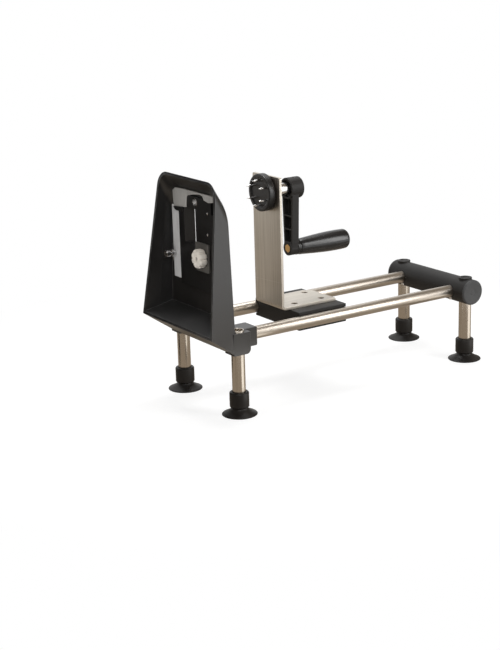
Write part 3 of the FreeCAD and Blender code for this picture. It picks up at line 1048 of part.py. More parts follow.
def grip():
    """Brass insert, spindle with a snap head, neck washer and the turning grip."""
    insert = make_body("brass_insert", "HubFront", "0", GRIP_HEIGHT)
    section = make_sketch(insert, "YZ_Plane")
    draw_hexagon(section, "0", "0", "InsertFlats")
    pad(insert, section, "InsertLength - 0.1")
    bore(insert, "YZ_Plane", [("0", "0")], "SpindleThread + 2 * SocketFit", "InsertLength",
         "InsertLength - 1.5", forward=False)
    keep("brass_insert", insert)

    thread_end = "(HubFront + 2)"
    step = f"(HubFront + InsertLength - {thread_end})"
    reach = f"({GRIP_START} + SpindleReach - {thread_end})"
    keep("grip_spindle", turned("grip_spindle", [
        ("0", "0"), ("SpindleThread / 2", "0"), ("SpindleThread / 2", step), ("SpindleDiameter / 2", step),
        ("SpindleDiameter / 2", f"{reach} - 3"), ("SpindleBarb / 2", f"{reach} - 3"),
        ("SpindleDiameter / 2 - 0.5", reach), ("0", reach)],
        thread_end, "0", GRIP_HEIGHT, ALONG_X))

    inner = "(SpindleDiameter / 2 + SocketFit)"
    keep("neck_washer", turned("neck_washer", [
        (inner, "0"), ("WasherDiameter / 2 - 0.6", "0"), ("WasherDiameter / 2", "0.6"),
        ("WasherDiameter / 2", "WasherLength - 0.6"), ("WasherDiameter / 2 - 0.6", "WasherLength"),
        (inner, "WasherLength")], ARM_REAR, "0", GRIP_HEIGHT, ALONG_X))

    hole = "(SpindleDiameter / 2 + ShaftFit)"
    chamber = "(SpindleBarb / 2 + FaceGap)"
    mouth, widest = "GripSmall / 2", "GripLarge / 2"
    keep("crank_grip", turned("crank_grip", [
        (hole, "0"), (f"{mouth} - GripMouthRound", "0"),
        (mouth, "GripMouthRound", "GripMouthRound", 1),
        (widest, "GripSwell", "11 * GripLarge", 1),
        (f"{widest} - 0.3", "GripLength - GripEndRound", "6 * GripLarge", 1),
        (f"{widest} - 0.3 - GripEndRound", "GripLength", "GripEndRound", 1),
        ("0", "GripLength"), ("0", "SpindleReach + 0.6"),
        (chamber, "SpindleReach + 0.6"), (chamber, "SpindleReach - 3 - FaceGap"),
        (hole, "SpindleReach - 3 - FaceGap")],
        GRIP_START, "0", GRIP_HEIGHT, ALONG_X))


def check_model():
    """Stop when any object failed or any node is empty, invalid or not made of solids."""
    doc.recompute()
    failed = [item.Name for item in doc.Objects if {"Invalid", "Error"} & set(item.State)]
    loose = [item.Name for item in doc.Objects
             if item.isDerivedFrom("Sketcher::SketchObject") and not item.FullyConstrained]
    bad = [name for name, piece in nodes.items()
           if piece.Shape.isNull() or not piece.Shape.isValid() or not piece.Shape.Solids]
    if failed or loose or bad:
        raise RuntimeError(f"failed {failed}, loose sketches {loose}, bad nodes {bad}")


def write_parts():
    os.makedirs("parts", exist_ok=True)
    for name, piece in nodes.items():
        piece.Shape.exportStep(f"parts/{name}.step")


blade_hood()
blade_cassette()
slicing_blade()
comb_strip()
flat_screws("blade_screws", BLADE_ROW, f"{CASSETTE_BACK} + BladeSheet")
flat_screws("comb_screws", COMB_ROW, f"{CASSETTE_BACK} + CombSheet")
coring_tube()
clamp()
tension_screw()
back_nuts()
frame()
rear_bar()
grub_screws()
carriage_block()
carriage_bracket()
bracket_screws()
shaft_bush()
crank_shaft()
food_holder()
crank_arm()
grip()
check_model()
write_parts()
print(len(nodes), "nodes written")
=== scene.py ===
"""Looks of the vegetable spiralizer: finishes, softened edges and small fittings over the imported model.

Lengths of the machine are millimetres in the model's own frame: X runs from the hood to the rear bar,
Z is up, and the origin is on the table under the middle of the machine. The studio and what the layouts
are given are in metres.
"""

import json
import math

import bmesh
import bpy
from mathutils import Matrix, Vector


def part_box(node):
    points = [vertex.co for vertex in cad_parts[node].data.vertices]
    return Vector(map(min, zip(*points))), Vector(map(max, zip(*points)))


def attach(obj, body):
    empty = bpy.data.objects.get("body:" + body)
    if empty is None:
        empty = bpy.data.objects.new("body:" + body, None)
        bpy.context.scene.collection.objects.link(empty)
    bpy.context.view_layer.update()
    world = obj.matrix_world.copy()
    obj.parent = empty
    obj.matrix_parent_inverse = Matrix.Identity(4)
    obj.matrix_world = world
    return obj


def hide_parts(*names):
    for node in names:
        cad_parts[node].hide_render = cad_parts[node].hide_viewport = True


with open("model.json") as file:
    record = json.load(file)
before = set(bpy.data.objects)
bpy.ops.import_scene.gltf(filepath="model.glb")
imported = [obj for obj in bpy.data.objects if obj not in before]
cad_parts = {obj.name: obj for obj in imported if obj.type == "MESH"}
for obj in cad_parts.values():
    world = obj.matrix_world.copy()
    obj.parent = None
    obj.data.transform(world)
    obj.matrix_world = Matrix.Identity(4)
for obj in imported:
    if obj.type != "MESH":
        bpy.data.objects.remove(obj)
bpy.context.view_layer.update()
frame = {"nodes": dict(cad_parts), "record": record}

MM = 0.001
NODES = frame["nodes"]
BODY_OF = {node: body for body, members in frame["record"]["behaviour"]["bodies"].items() for node in members}
SLOT_OF = {row["node"]: row["material_slot"] for row in frame["record"]["subparts"]}
CORNERS = ("front_left", "front_right", "rear_left", "rear_right")
LEGS = [corner + "_leg" for corner in CORNERS]
FEET = [corner + "_foot" for corner in CORNERS]
ALONG_X = Matrix.Rotation(math.pi / 2, 4, "Y")
AGAINST_X = Matrix.Rotation(-math.pi / 2, 4, "Y")
EDGE_MASK = "edge"
ONE_FACE = [(0, 1, 2, 3)]


def add(tree, kind, inputs=None, **settings):
    """A node; an input takes a number, a colour or another node's output."""
    made = tree.nodes.new(kind)
    for key, setting in settings.items():
        setattr(made, key, setting)
    for key, source in (inputs or {}).items():
        socket = made.inputs[key]
        if isinstance(source, bpy.types.NodeSocket):
            tree.links.new(source, socket)
        else:
            socket.default_value = source
    return made


def worked(tree, operation, *sources):
    """The result of a Math node on numbers or other nodes' outputs."""
    return add(tree, "ShaderNodeMath", dict(enumerate(sources)), operation=operation).outputs[0]


def linked(name, data):
    """An object put in the scene."""
    made = bpy.data.objects.new(name, data)
    bpy.context.collection.objects.link(made)
    return made


def mesh_piece(name, points, faces):
    mesh = bpy.data.meshes.new(name)
    mesh.from_pydata(points, [], faces)
    mesh.update()
    return linked(name, mesh)


def set_camera():
    """The viewpoint of the photograph: 500 x 650 pixels, long lens, slightly rolled."""
    focal_pixels, picture_height, sensor = 1450.41, 650, 36
    place = (-0.91079, -1.24943, 0.50066)
    azimuth, elevation, roll = (math.radians(angle) for angle in (-33.232, 15.927, -1.653))
    back = Vector((math.sin(azimuth) * math.cos(elevation), -math.cos(azimuth) * math.cos(elevation),
                   math.sin(elevation)))
    level_right = (-back).cross(Vector((0, 0, 1))).normalized()
    level_up = level_right.cross(-back)
    right = level_right * math.cos(roll) + level_up * math.sin(roll)
    up = -level_right * math.sin(roll) + level_up * math.cos(roll)
    lens = bpy.data.cameras.new("product_camera")
    lens.lens = focal_pixels / picture_height * sensor
    lens.sensor_width = sensor
    lens.clip_end = 20
    camera = linked("product_camera", lens)
    camera.matrix_world = Matrix.Translation(place) @ Matrix((right, up, back)).transposed().to_4x4()
    bpy.context.scene.camera = camera


def soft_box(name, place, target, size, power):
    """A rectangular lamp turned to its target; size is its width and height."""
    lamp = bpy.data.lights.new(name, "AREA")
    lamp.shape = "RECTANGLE"
    lamp.size, lamp.size_y = size
    lamp.energy = power
    aim = (Vector(target) - Vector(place)).to_track_quat("-Z", "Y")
    linked(name, lamp).matrix_world = Matrix.Translation(place) @ aim.to_matrix().to_4x4()


def white_where_seen(tree, plain, paper):
    """Mixes to paper white for camera, glossy and transmitted rays; other rays see the plain shader."""
    rays = add(tree, "ShaderNodeLightPath").outputs
    seen = worked(tree, "MAXIMUM", rays["Is Camera Ray"], rays["Is Glossy Ray"])
    seen_through = worked(tree, "MAXIMUM", seen, rays["Is Transmission Ray"])
    return add(tree, "ShaderNodeMixShader", {0: seen_through, 1: plain, 2: paper}).outputs[0]


def set_world():
    """A dim warm world that looks paper white."""
    world = bpy.data.worlds.new("white_studio")
    bpy.context.scene.world = world
    world.use_nodes = True
    tree = world.node_tree
    tree.nodes.clear()
    ambient = add(tree, "ShaderNodeBackground", {"Color": (1.0, 0.985, 0.965, 1), "Strength": 0.25})
    paper = add(tree, "ShaderNodeBackground", {"Color": (1, 1, 1, 1), "Strength": 1.0})
    mixed = white_where_seen(tree, ambient.outputs[0], paper.outputs[0])
    add(tree, "ShaderNodeOutputWorld", {"Surface": mixed})


def studio_material(piece):
    """A bare material of the same name on a piece of the studio; gives its tree."""
    material = bpy.data.materials.new(piece.name)
    material.use_nodes = True
    material.node_tree.nodes.clear()
    piece.data.materials.append(material)
    return material.node_tree


def set_floor():
    """A pale table that keeps the machine's soft shadow and goes over to paper white round it."""
    half, fade_start, fade_end = 3.0, 0.22, 0.5
    floor = mesh_piece("pale_table", [(-half, -half, 0), (half, -half, 0), (half, half, 0), (-half, half, 0)],
                       ONE_FACE)
    tree = studio_material(floor)
    matte = add(tree, "ShaderNodeBsdfDiffuse", {"Color": (0.94, 0.94, 0.94, 1)})
    pale = add(tree, "ShaderNodeBsdfDiffuse", {"Color": (0.36, 0.36, 0.36, 1)})
    lift = add(tree, "ShaderNodeEmission", {"Strength": 0.74})
    lifted = add(tree, "ShaderNodeAddShader", {0: pale.outputs[0], 1: lift.outputs[0]})
    paper = add(tree, "ShaderNodeEmission", {"Strength": 1.0})
    place = add(tree, "ShaderNodeTexCoord").outputs["Object"]
    reach = add(tree, "ShaderNodeVectorMath", {0: place}, operation="LENGTH")
    away = add(tree, "ShaderNodeMapRange", {"Value": reach.outputs["Value"], "From Min": fade_start,
                                            "From Max": fade_end}, interpolation_type="SMOOTHSTEP")
    table = add(tree, "ShaderNodeMixShader", {0: away.outputs[0], 1: lifted.outputs[0], 2: paper.outputs[0]})
    mixed = white_where_seen(tree, matte.outputs[0], table.outputs[0])
    add(tree, "ShaderNodeOutputMaterial", {"Surface": mixed})


def reflected_only(name, points, faces, colour, strength=1.0):
    """A glowing card of the studio that lights nothing and is there only for what the machine reflects."""
    card = mesh_piece(name, points, faces)
    tree = studio_material(card)
    glow = add(tree, "ShaderNodeEmission", {"Color": (*colour, 1), "Strength": strength})
    add(tree, "ShaderNodeOutputMaterial", {"Surface": glow.outputs[0]})
    card.visible_camera = card.visible_diffuse = card.visible_shadow = card.visible_transmission = False


def ring_mesh(rings, angles):
    """Quads between rings of (radius, height), over a run of angles in degrees."""
    turns = [math.radians(angle) for angle in angles]
    points = [(radius * math.cos(turn), radius * math.sin(turn), height)
              for radius, height in rings for turn in turns]
    row = len(turns)
    starts = [ring * row + step for ring in range(len(rings) - 1) for step in range(row - 1)]
    return points, [(start, start + 1, start + row + 1, start + row) for start in starts]


def upright_card(start, end, foot, top):
    """Corners of a card that stands over a line on the table."""
    return [(*start, foot), (*end, foot), (*end, top), (*start, top)]


def set_reflections():
    """A dim warm tent, two cloths on the table, two dark flags by the mouth and a card by each near leg."""
    tent = [(2.3, 0.02), (2.4, 1.3), (2.1, 2.0), (1.3, 2.5), (0.45, 2.7)]
    reflected_only("dim_tent", *ring_mesh(tent, range(-215, 36, 10)), (0.26, 0.215, 0.17))

    tan_height, tan_reach, tan_shift = 0.0004, 0.95, 0.35
    points, faces = ring_mesh([(0.01, tan_height), (tan_reach, tan_height)], range(0, 361, 10))
    points = [(x - tan_shift, y + tan_shift, z) for x, y, z in points]
    reflected_only("tan_cloth", points, faces, (0.40, 0.335, 0.265))

    left, right, front, back, bright_height = -0.3, 1.3, -1.5, -0.3, 0.0003
    bright = [(left, front, bright_height), (right, front, bright_height), (right, back, bright_height),
              (left, back, bright_height)]
    reflected_only("bright_cloth", bright, ONE_FACE, (1, 1, 1), 1.5)

    hood_flag = upright_card((-0.272, 0.085), (-0.187, 0.085), 0, 0.3)
    reflected_only("hood_flag", hood_flag, ONE_FACE, (0.02, 0.018, 0.016))
    # The near flag leans like the hood's rim and narrows with it.
    mouth_flag = [(-0.42, -0.0705, 0.05), (-0.1905, -0.0705, 0.05), (-0.1662, -0.0535, 0.2437),
                  (-0.42, -0.0535, 0.2437)]
    reflected_only("mouth_flag", mouth_flag, ONE_FACE, (0.01, 0.009, 0.008))

    along, from_leg = Vector((0.82, 0.57)), Vector((0.034, -0.049))
    shift, half, foot, top = along * 0.008, along * 0.028, 0.001, 0.055
    for node in ("front_right_leg", "rear_right_leg"):
        middle = (centre(node) * MM).to_2d() + from_leg + shift
        leg_card = upright_card(middle - half, middle + half, foot, top)
        reflected_only(node + "_card", leg_card, ONE_FACE, (1, 0.96, 0.9), 1.6)


def set_lights():
    soft_box("key_softbox", (-1.0, -1.5, 1.5), (0, 0, 0.1), (0.8, 0.8), 15)
    soft_box("side_softbox", (1.05, -1.45, 0.75), (0, 0, 0.1), (0.62, 1.3), 17)
    soft_box("top_softbox", (0.2, 0.5, 1.9), (0, 0, 0), (1.2, 0.7), 20)
    bpy.context.scene.view_settings.view_transform = "Standard"


def piece_from(name, shell):
    """An object made from a bmesh, which is freed."""
    mesh = bpy.data.meshes.new(name)
    shell.to_mesh(mesh)
    shell.free()
    return linked(name, mesh)


def applied(piece):
    """The piece with its modifiers turned into plain mesh."""
    graph = bpy.context.evaluated_depsgraph_get()
    mesh = bpy.data.meshes.new_from_object(piece.evaluated_get(graph))
    piece.modifiers.clear()
    piece.data = mesh
    return piece


def shade_smooth(piece, angle=32):
    for face in piece.data.polygons:
        face.use_smooth = True
    piece.data.set_sharp_from_angle(angle=math.radians(angle))


def extent(node):
    """Lowest and highest corner of a node, in mm."""
    low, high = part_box(node)
    return low / MM, high / MM


def centre(node):
    low, high = extent(node)
    return (low + high) / 2


def length_of(node):
    """A node's length along X, in mm."""
    low, high = extent(node)
    return high.x - low.x


def middle_of(*nodes):
    """The middle of the box round several nodes, and its size, in mm."""
    corners = [corner for node in nodes for corner in extent(node)]
    low = Vector(min(corner[axis] for corner in corners) for axis in range(3))
    high = Vector(max(corner[axis] for corner in corners) for axis in range(3))
    return (low + high) / 2, high - low


def rounded(profile, radius, steps=3):
    """The (radius, height) outline with each inner corner rounded; a third number sets its own radius."""
    nearly_sharp, nearly_straight, most_of_a_side = 1e-4, 3.1, 0.49
    result = [tuple(profile[0][:2])]
    for before, here, after in zip(profile, profile[1:], profile[2:]):
        corner = Vector(here[:2])
        to_before, to_after = Vector(before[:2]) - corner, Vector(after[:2]) - corner
        size = here[2] if len(here) > 2 else radius
        angle = to_before.angle(to_after)
        if size < nearly_sharp or angle > nearly_straight:
            result.append(tuple(corner))
            continue
        room = most_of_a_side * min(to_before.length, to_after.length)
        reach = min(size / math.tan(angle / 2), room)
        bow = reach * math.tan(angle / 2)
        start = corner + to_before.normalized() * reach
        end = corner + to_after.normalized() * reach
        inwards = (to_before.normalized() + to_after.normalized()).normalized()
        hub = corner + inwards * (bow / math.sin(angle / 2))
        for step in range(steps + 1):
            blend = start.lerp(end, step / steps) - hub
            result.append(tuple(hub + blend.normalized() * bow))
    result.append(tuple(profile[-1][:2]))
    return result


def join_rings(shell, near, far):
    """Faces between two rings of points; a ring of one point makes a tip."""
    count = max(len(near), len(far))
    if count == 1:
        return
    for side in range(count):
        after = (side + 1) % count
        if len(near) == 1:
            shell.faces.new((near[0], far[after], far[side]))
        elif len(far) == 1:
            shell.faces.new((near[side], near[after], far[0]))
        else:
            shell.faces.new((near[side], near[after], far[after], far[side]))


def lathe(name, profile, base, turn=Matrix(), sides=64):
    """A turned solid: profile points are (radius, height) in mm, from its foot along its own Z.

    A point (half flats, height, True) makes a hexagonal ring, as in a socket or on a nut.
    """
    on_axis, doubled = 1e-6, 1e-7
    shell = bmesh.new()
    rings = []
    for radius, height, *hexagonal in profile:
        if radius < on_axis:
            rings.append([shell.verts.new((0, 0, height * MM))])
            continue
        ring = []
        for side in range(sides):
            angle = 2 * math.pi * side / sides
            reach = radius * MM
            if hexagonal:
                reach /= math.cos((angle % (math.pi / 3)) - math.pi / 6)
            ring.append(shell.verts.new((reach * math.cos(angle), reach * math.sin(angle), height * MM)))
        rings.append(ring)
    for low, high in zip(rings, rings[1:]):
        join_rings(shell, low, high)
    if len(rings[0]) > 1 and len(rings[-1]) > 1 and profile[0] != profile[-1]:
        join_rings(shell, rings[-1], rings[0])
    bmesh.ops.remove_doubles(shell, verts=shell.verts, dist=doubled)
    bmesh.ops.recalc_face_normals(shell, faces=shell.faces)
    shell.transform(Matrix.Translation(Vector(base) * MM) @ turn)
    piece = piece_from(name, shell)
    shade_smooth(piece)
    return piece


def soften_edges(shell, angle, width, clamp):
    """Rounds the edges that turn by more than an angle in degrees and marks their faces for the lighter edge
    tone, which is wear and, most of all on the hood, a painted highlight.
    """
    mask = shell.faces.layers.float.new(EDGE_MASK)
    sharp = [line for line in shell.edges if line.calc_face_angle(0) > math.radians(angle)]
    made = bmesh.ops.bevel(shell, geom=sharp, offset=width * MM, segments=2, profile=0.6, affect="EDGES",
                           clamp_overlap=clamp, loop_slide=False)
    for face in made["faces"]:
        face[mask] = 1.0


def softened(name, node, width):
    """A copy of a rigid node with its doubled points merged and its sharp edges rounded by width mm."""
    doubled, flat, skew, sharp = 2e-6, math.radians(0.5), math.radians(60), 24
    shell = bmesh.new()
    shell.from_mesh(NODES[node].data)
    bmesh.ops.remove_doubles(shell, verts=shell.verts, dist=doubled)
    bmesh.ops.join_triangles(shell, faces=shell.faces, angle_face_threshold=flat,
                             angle_shape_threshold=skew)
    soften_edges(shell, sharp, width, clamp=False)
    piece = piece_from(name, shell)
    shade_smooth(piece, 40)
    weigh = piece.modifiers.new("weigh", "WEIGHTED_NORMAL")
    weigh.keep_sharp = True
    return applied(piece)


def settle(piece, *nodes, finish=None):
    """Gives a finished piece the body and finish of the nodes that it stands for, and hides those nodes."""
    piece.data.materials.clear()
    piece.data.materials.append(finish or FINISHES[SLOT_OF[nodes[0]]])
    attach(piece, BODY_OF[nodes[0]])
    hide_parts(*nodes)


def ride_along(piece, node, slot, finish=None):
    """An added fitting that moves with a node's body and takes the finish of a slot, or the finish given."""
    piece.data.materials.clear()
    piece.data.materials.append(finish or FINISHES[slot])
    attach(piece, BODY_OF[node])


def layout_tree(name, kind, sockets):
    """A tree that puts one part on the points of a line, grid or ring and makes the whole plain mesh."""
    tree = bpy.data.node_groups.new(name, "GeometryNodeTree")
    for label, socket, default in sockets + [("Part", "Object", None), ("Finish", "Material", None),
                                             ("Place", "Vector", (0, 0, 0)), ("Tilt", "Rotation", None),
                                             ("Part tilt", "Rotation", None), ("Turn jitter", "Float", 0.0),
                                             ("Seed", "Int", 1)]:
        made = tree.interface.new_socket(label, in_out="INPUT", socket_type="NodeSocket" + socket)
        if default is not None:
            made.default_value = default
    tree.interface.new_socket("Geometry", in_out="OUTPUT", socket_type="NodeSocketGeometry")
    given = add(tree, "NodeGroupInput").outputs
    layout = add(tree, kind, {label: given[label] for label, _, _ in sockets})
    part = add(tree, "GeometryNodeObjectInfo", {"Object": given["Part"]}).outputs["Geometry"]
    lowest = worked(tree, "MULTIPLY", given["Turn jitter"], -1.0)
    turn = add(tree, "FunctionNodeRandomValue", {2: lowest, 3: given["Turn jitter"], "Seed": given["Seed"]},
               data_type="FLOAT")
    axis_turn = add(tree, "FunctionNodeAxisAngleToRotation", {"Axis": (0, 0, 1), "Angle": turn.outputs[1]})
    tilt = add(tree, "FunctionNodeRotateRotation", {0: given["Part tilt"], 1: axis_turn.outputs[0]},
               rotation_space="LOCAL")
    spread = add(tree, "GeometryNodeInstanceOnPoints", {"Points": layout.outputs["Mesh"], "Instance": part,
                                                        "Rotation": tilt.outputs[0]})
    moved = add(tree, "GeometryNodeTransform", {"Geometry": spread.outputs[0], "Translation": given["Place"],
                                                "Rotation": given["Tilt"]})
    real = add(tree, "GeometryNodeRealizeInstances", {"Geometry": moved.outputs[0]})
    dressed = add(tree, "GeometryNodeSetMaterial", {"Geometry": real.outputs[0], "Material": given["Finish"]})
    add(tree, "NodeGroupOutput", {0: dressed.outputs[0]})
    return tree


LAYOUTS = {
    "grid": layout_tree("part on a grid", "GeometryNodeMeshGrid", [
        ("Size X", "Float", 0.1), ("Size Y", "Float", 0.1),
        ("Vertices X", "Int", 2), ("Vertices Y", "Int", 2)]),
    "ring": layout_tree("part on a ring", "GeometryNodeMeshCircle", [
        ("Vertices", "Int", 6), ("Radius", "Float", 0.01)]),
    "line": layout_tree("part on a line", "GeometryNodeMeshLine", [
        ("Count", "Int", 9), ("Offset", "Vector", (0, 0, 0.004))]),
}


def repeated(name, part, layout, **inputs):
    """The part, in its own frame, laid out by one of the trees; the part itself goes."""
    tree = LAYOUTS[layout]
    sockets = {item.name.replace(" ", "_"): item.identifier for item in tree.interface.items_tree
               if item.in_out == "INPUT"}
    piece = mesh_piece(name, [], [])
    modifier = piece.modifiers.new("layout", "NODES")
    modifier.node_group = tree
    for label, setting in dict(inputs, Part=part).items():
        modifier[sockets[label]] = setting
    applied(piece)
    bpy.data.objects.remove(part)
    shade_smooth(piece)
    return piece


def ranged(tree, source, low, high, start=0.35, end=0.65):
    """A mask's values between start and end, moved to the range from low to high."""
    return add(tree, "ShaderNodeMapRange", {"Value": source, "From Min": start, "From Max": end,
                                            "To Min": low, "To Max": high}).outputs[0]


def tinted(tree, factor, low, high):
    """A mix of two by a mask; each is a colour or another node's output."""
    first, second = (tone if isinstance(tone, bpy.types.NodeSocket) else (*tone, 1) for tone in (low, high))
    return add(tree, "ShaderNodeMix", {0: factor, 6: first, 7: second}, data_type="RGBA").outputs[2]


def noise(tree, place, scale, detail, roughness=0.5):
    return add(tree, "ShaderNodeTexNoise", {"Vector": place, "Scale": scale, "Detail": detail,
                                            "Roughness": roughness}).outputs["Fac"]


def fine_bump(tree, depth, height):
    """The normal of a relief that is 0.2 mm high at a depth of 1."""
    bump = add(tree, "ShaderNodeBump", {"Strength": depth, "Distance": 0.0002, "Height": height})
    return bump.outputs["Normal"]


def new_group(name, inputs, outputs):
    """A shader node group with named sockets; inputs are (name, default) and outputs (name, kind).

    Gives the tree, its inputs and the place on the piece.
    """
    tree = bpy.data.node_groups.new(name, "ShaderNodeTree")
    for label, default in inputs:
        kind = "NodeSocketVector" if isinstance(default, tuple) else "NodeSocketFloat"
        tree.interface.new_socket(label, in_out="INPUT", socket_type=kind).default_value = default
    for label, kind in outputs:
        tree.interface.new_socket(label, in_out="OUTPUT", socket_type="NodeSocket" + kind)
    return tree, add(tree, "NodeGroupInput").outputs, add(tree, "ShaderNodeTexCoord").outputs["Object"]


def moulded_skin_group():
    """Fine spark texture of a moulded part, with broad faint clouds in tone and gloss."""
    tree, given, place = new_group(
        "moulded skin", [("Grain size", 2600.0), ("Grain depth", 0.05), ("Cloud", 0.2)],
        [("Tone", "Float"), ("Gloss", "Float"), ("Normal", "Vector")])
    grain = noise(tree, place, given["Grain size"], 2.0, 0.6)
    cloud = noise(tree, place, 22.0, 3.0)
    lightness = ranged(tree, cloud, -1.0, 1.0, 0.3, 0.7)
    tone = worked(tree, "ADD", worked(tree, "MULTIPLY", lightness, given["Cloud"]), 1.0)
    normal = fine_bump(tree, given["Grain depth"], grain)
    add(tree, "NodeGroupOutput", {"Tone": tone, "Gloss": cloud, "Normal": normal})
    return tree


def edge_wear_and_highlight_group():
    """How much a softened edge is lightened, as wear and as a painted highlight line, broken up along its
    run.
    """
    tree, given, place = new_group("edge wear and highlight", [("Amount", 0.5)], [("Wear", "Float")])
    broken = ranged(tree, noise(tree, place, 90.0, 4.0), 0.25, 1.0, 0.4, 0.65)
    edge = add(tree, "ShaderNodeAttribute", attribute_name=EDGE_MASK).outputs["Fac"]
    wear_and_highlight = worked(tree, "MULTIPLY", worked(tree, "MULTIPLY", edge, broken), given["Amount"])
    add(tree, "NodeGroupOutput", {"Wear": wear_and_highlight})
    return tree


def drawn_lines_group():
    """Long fine lines left by drawing, rolling or brushing; Stretch is long across the lines."""
    tree, given, place = new_group(
        "drawn lines", [("Stretch", (900.0, 900.0, 9.0)), ("Depth", 0.1)],
        [("Line", "Float"), ("Blotch", "Float"), ("Normal", "Vector")])
    along = add(tree, "ShaderNodeVectorMath", {0: place, 1: given["Stretch"]}, operation="MULTIPLY")
    line = noise(tree, along.outputs[0], 1.0, 5.0, 0.65)
    blotch = noise(tree, place, 35.0, 3.0)
    normal = fine_bump(tree, given["Depth"], line)
    add(tree, "NodeGroupOutput", {"Line": line, "Blotch": blotch, "Normal": normal})
    return tree


def across_band_group():
    """A thin straight band over a face seen along X; Slope is its rise towards +Y."""
    tree, given, place = new_group("across band", [("Height", 0.1), ("Slope", 0.0), ("Half width", 0.0003)],
                                   [("Band", "Float")])
    spot = add(tree, "ShaderNodeSeparateXYZ", {0: place}).outputs
    middle = worked(tree, "MULTIPLY_ADD", spot["Y"], given["Slope"], given["Height"])
    away = worked(tree, "ABSOLUTE", worked(tree, "SUBTRACT", spot["Z"], middle))
    add(tree, "NodeGroupOutput", {"Band": ranged(tree, away, 1.0, 0.0, 0.0, given["Half width"])})
    return tree


GROUPS = {
    "band": across_band_group(),
    "skin": moulded_skin_group(),
    "wear_and_highlight": edge_wear_and_highlight_group(),
    "lines": drawn_lines_group(),
}


def effect(tree, group, inputs):
    """One of the shared effects put in a material, with the material's own values."""
    return add(tree, "ShaderNodeGroup", inputs, node_tree=GROUPS[group])


def new_material(name, preview, **constants):
    material = bpy.data.materials.new(name)
    material.use_nodes = True
    material.diffuse_color = (*preview, 1)
    shader = material.node_tree.nodes["Principled BSDF"]
    for label, setting in constants.items():
        shader.inputs[label.replace("_", " ")].default_value = setting
    return material, material.node_tree, shader


def moulded(name, dark, light, gloss, grain=(2600.0, 0.06), cloud=0.5, wear_and_highlight=0.5, worn_and_highlit=None, **constants):
    """A moulded plastic or rubber between two close tones; gloss is its range of roughness; its softened
    edges go over to a lighter tone that is part wear, part painted highlight.
    """
    material, tree, shader = new_material(name, light, **constants)
    size, depth = grain
    skin = effect(tree, "skin", {"Grain size": size, "Grain depth": depth, "Cloud": cloud}).outputs
    rub_and_highlight = effect(tree, "wear_and_highlight", {"Amount": wear_and_highlight}).outputs["Wear"]
    base = tinted(tree, ranged(tree, skin["Tone"], 0.0, 1.0, 0.5, 1.5), dark, light)
    tree.links.new(tinted(tree, rub_and_highlight, base, worn_and_highlit or light), shader.inputs["Base Color"])
    tree.links.new(ranged(tree, skin["Gloss"], *gloss), shader.inputs["Roughness"])
    tree.links.new(skin["Normal"], shader.inputs["Normal"])
    return material


def metal(name, dark, light, gloss, stretch, depth=0.08, wear_and_highlight=0.3, metallic=1.0, **constants):
    """A drawn, rolled or ground metal; its lines run along the short axis of stretch."""
    material, tree, shader = new_material(name, light, Metallic=metallic, **constants)
    lines = effect(tree, "lines", {"Stretch": stretch, "Depth": depth}).outputs
    rub_and_highlight = effect(tree, "wear_and_highlight", {"Amount": wear_and_highlight}).outputs["Wear"]
    streaks = tinted(tree, ranged(tree, lines["Line"], 0.0, 1.0), dark, light)
    clouds = tinted(tree, ranged(tree, lines["Blotch"], 0.0, 0.35), streaks, light)
    rubbed = [min(tone * 1.25, 0.95) for tone in light]
    tree.links.new(tinted(tree, rub_and_highlight, clouds, rubbed), shader.inputs["Base Color"])
    tree.links.new(ranged(tree, lines["Line"], *gloss, 0.3, 0.7), shader.inputs["Roughness"])
    tree.links.new(lines["Normal"], shader.inputs["Normal"])
    return material


def bracket_sheet():
    """Sheet brushed up the bracket's wall and along its foot, with a faint painted highlight line across the
    wall.
    """
    up_the_wall, along_the_foot = (900.0, 900.0, 10.0), (10.0, 900.0, 900.0)
    highlight_height, highlight_slope, highlight_tone = 0.1199, -0.057, (0.8, 0.78, 0.74)
    material = metal("brushed stainless sheet", (0.45, 0.415, 0.36), (0.65, 0.61, 0.545), (0.34, 0.48),
                     up_the_wall, depth=0.2)
    tree = material.node_tree
    shader = tree.nodes["Principled BSDF"]
    lines = next(node for node in tree.nodes if node.type == "GROUP" and node.node_tree == GROUPS["lines"])
    foot_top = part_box("carriage_bracket")[0].z + 0.006
    place = add(tree, "ShaderNodeTexCoord").outputs["Object"]
    height = add(tree, "ShaderNodeSeparateXYZ", {0: place}).outputs["Z"]
    wall = ranged(tree, height, 0.0, 1.0, foot_top, foot_top + 0.001)
    stretch = add(tree, "ShaderNodeMix", {0: wall, 4: along_the_foot, 5: up_the_wall}, data_type="VECTOR")
    tree.links.new(stretch.outputs[1], lines.inputs["Stretch"])
    # A thin band across the wall goes over to a lighter tone: a painted highlight line.
    band = effect(tree, "band", {"Height": highlight_height, "Slope": highlight_slope}).outputs["Band"]
    base = shader.inputs["Base Color"].links[0].from_socket
    highlit = tinted(tree, ranged(tree, band, 0.0, 0.45, 0.0, 1.0), base, highlight_tone)
    tree.links.new(highlit, shader.inputs["Base Color"])
    return material


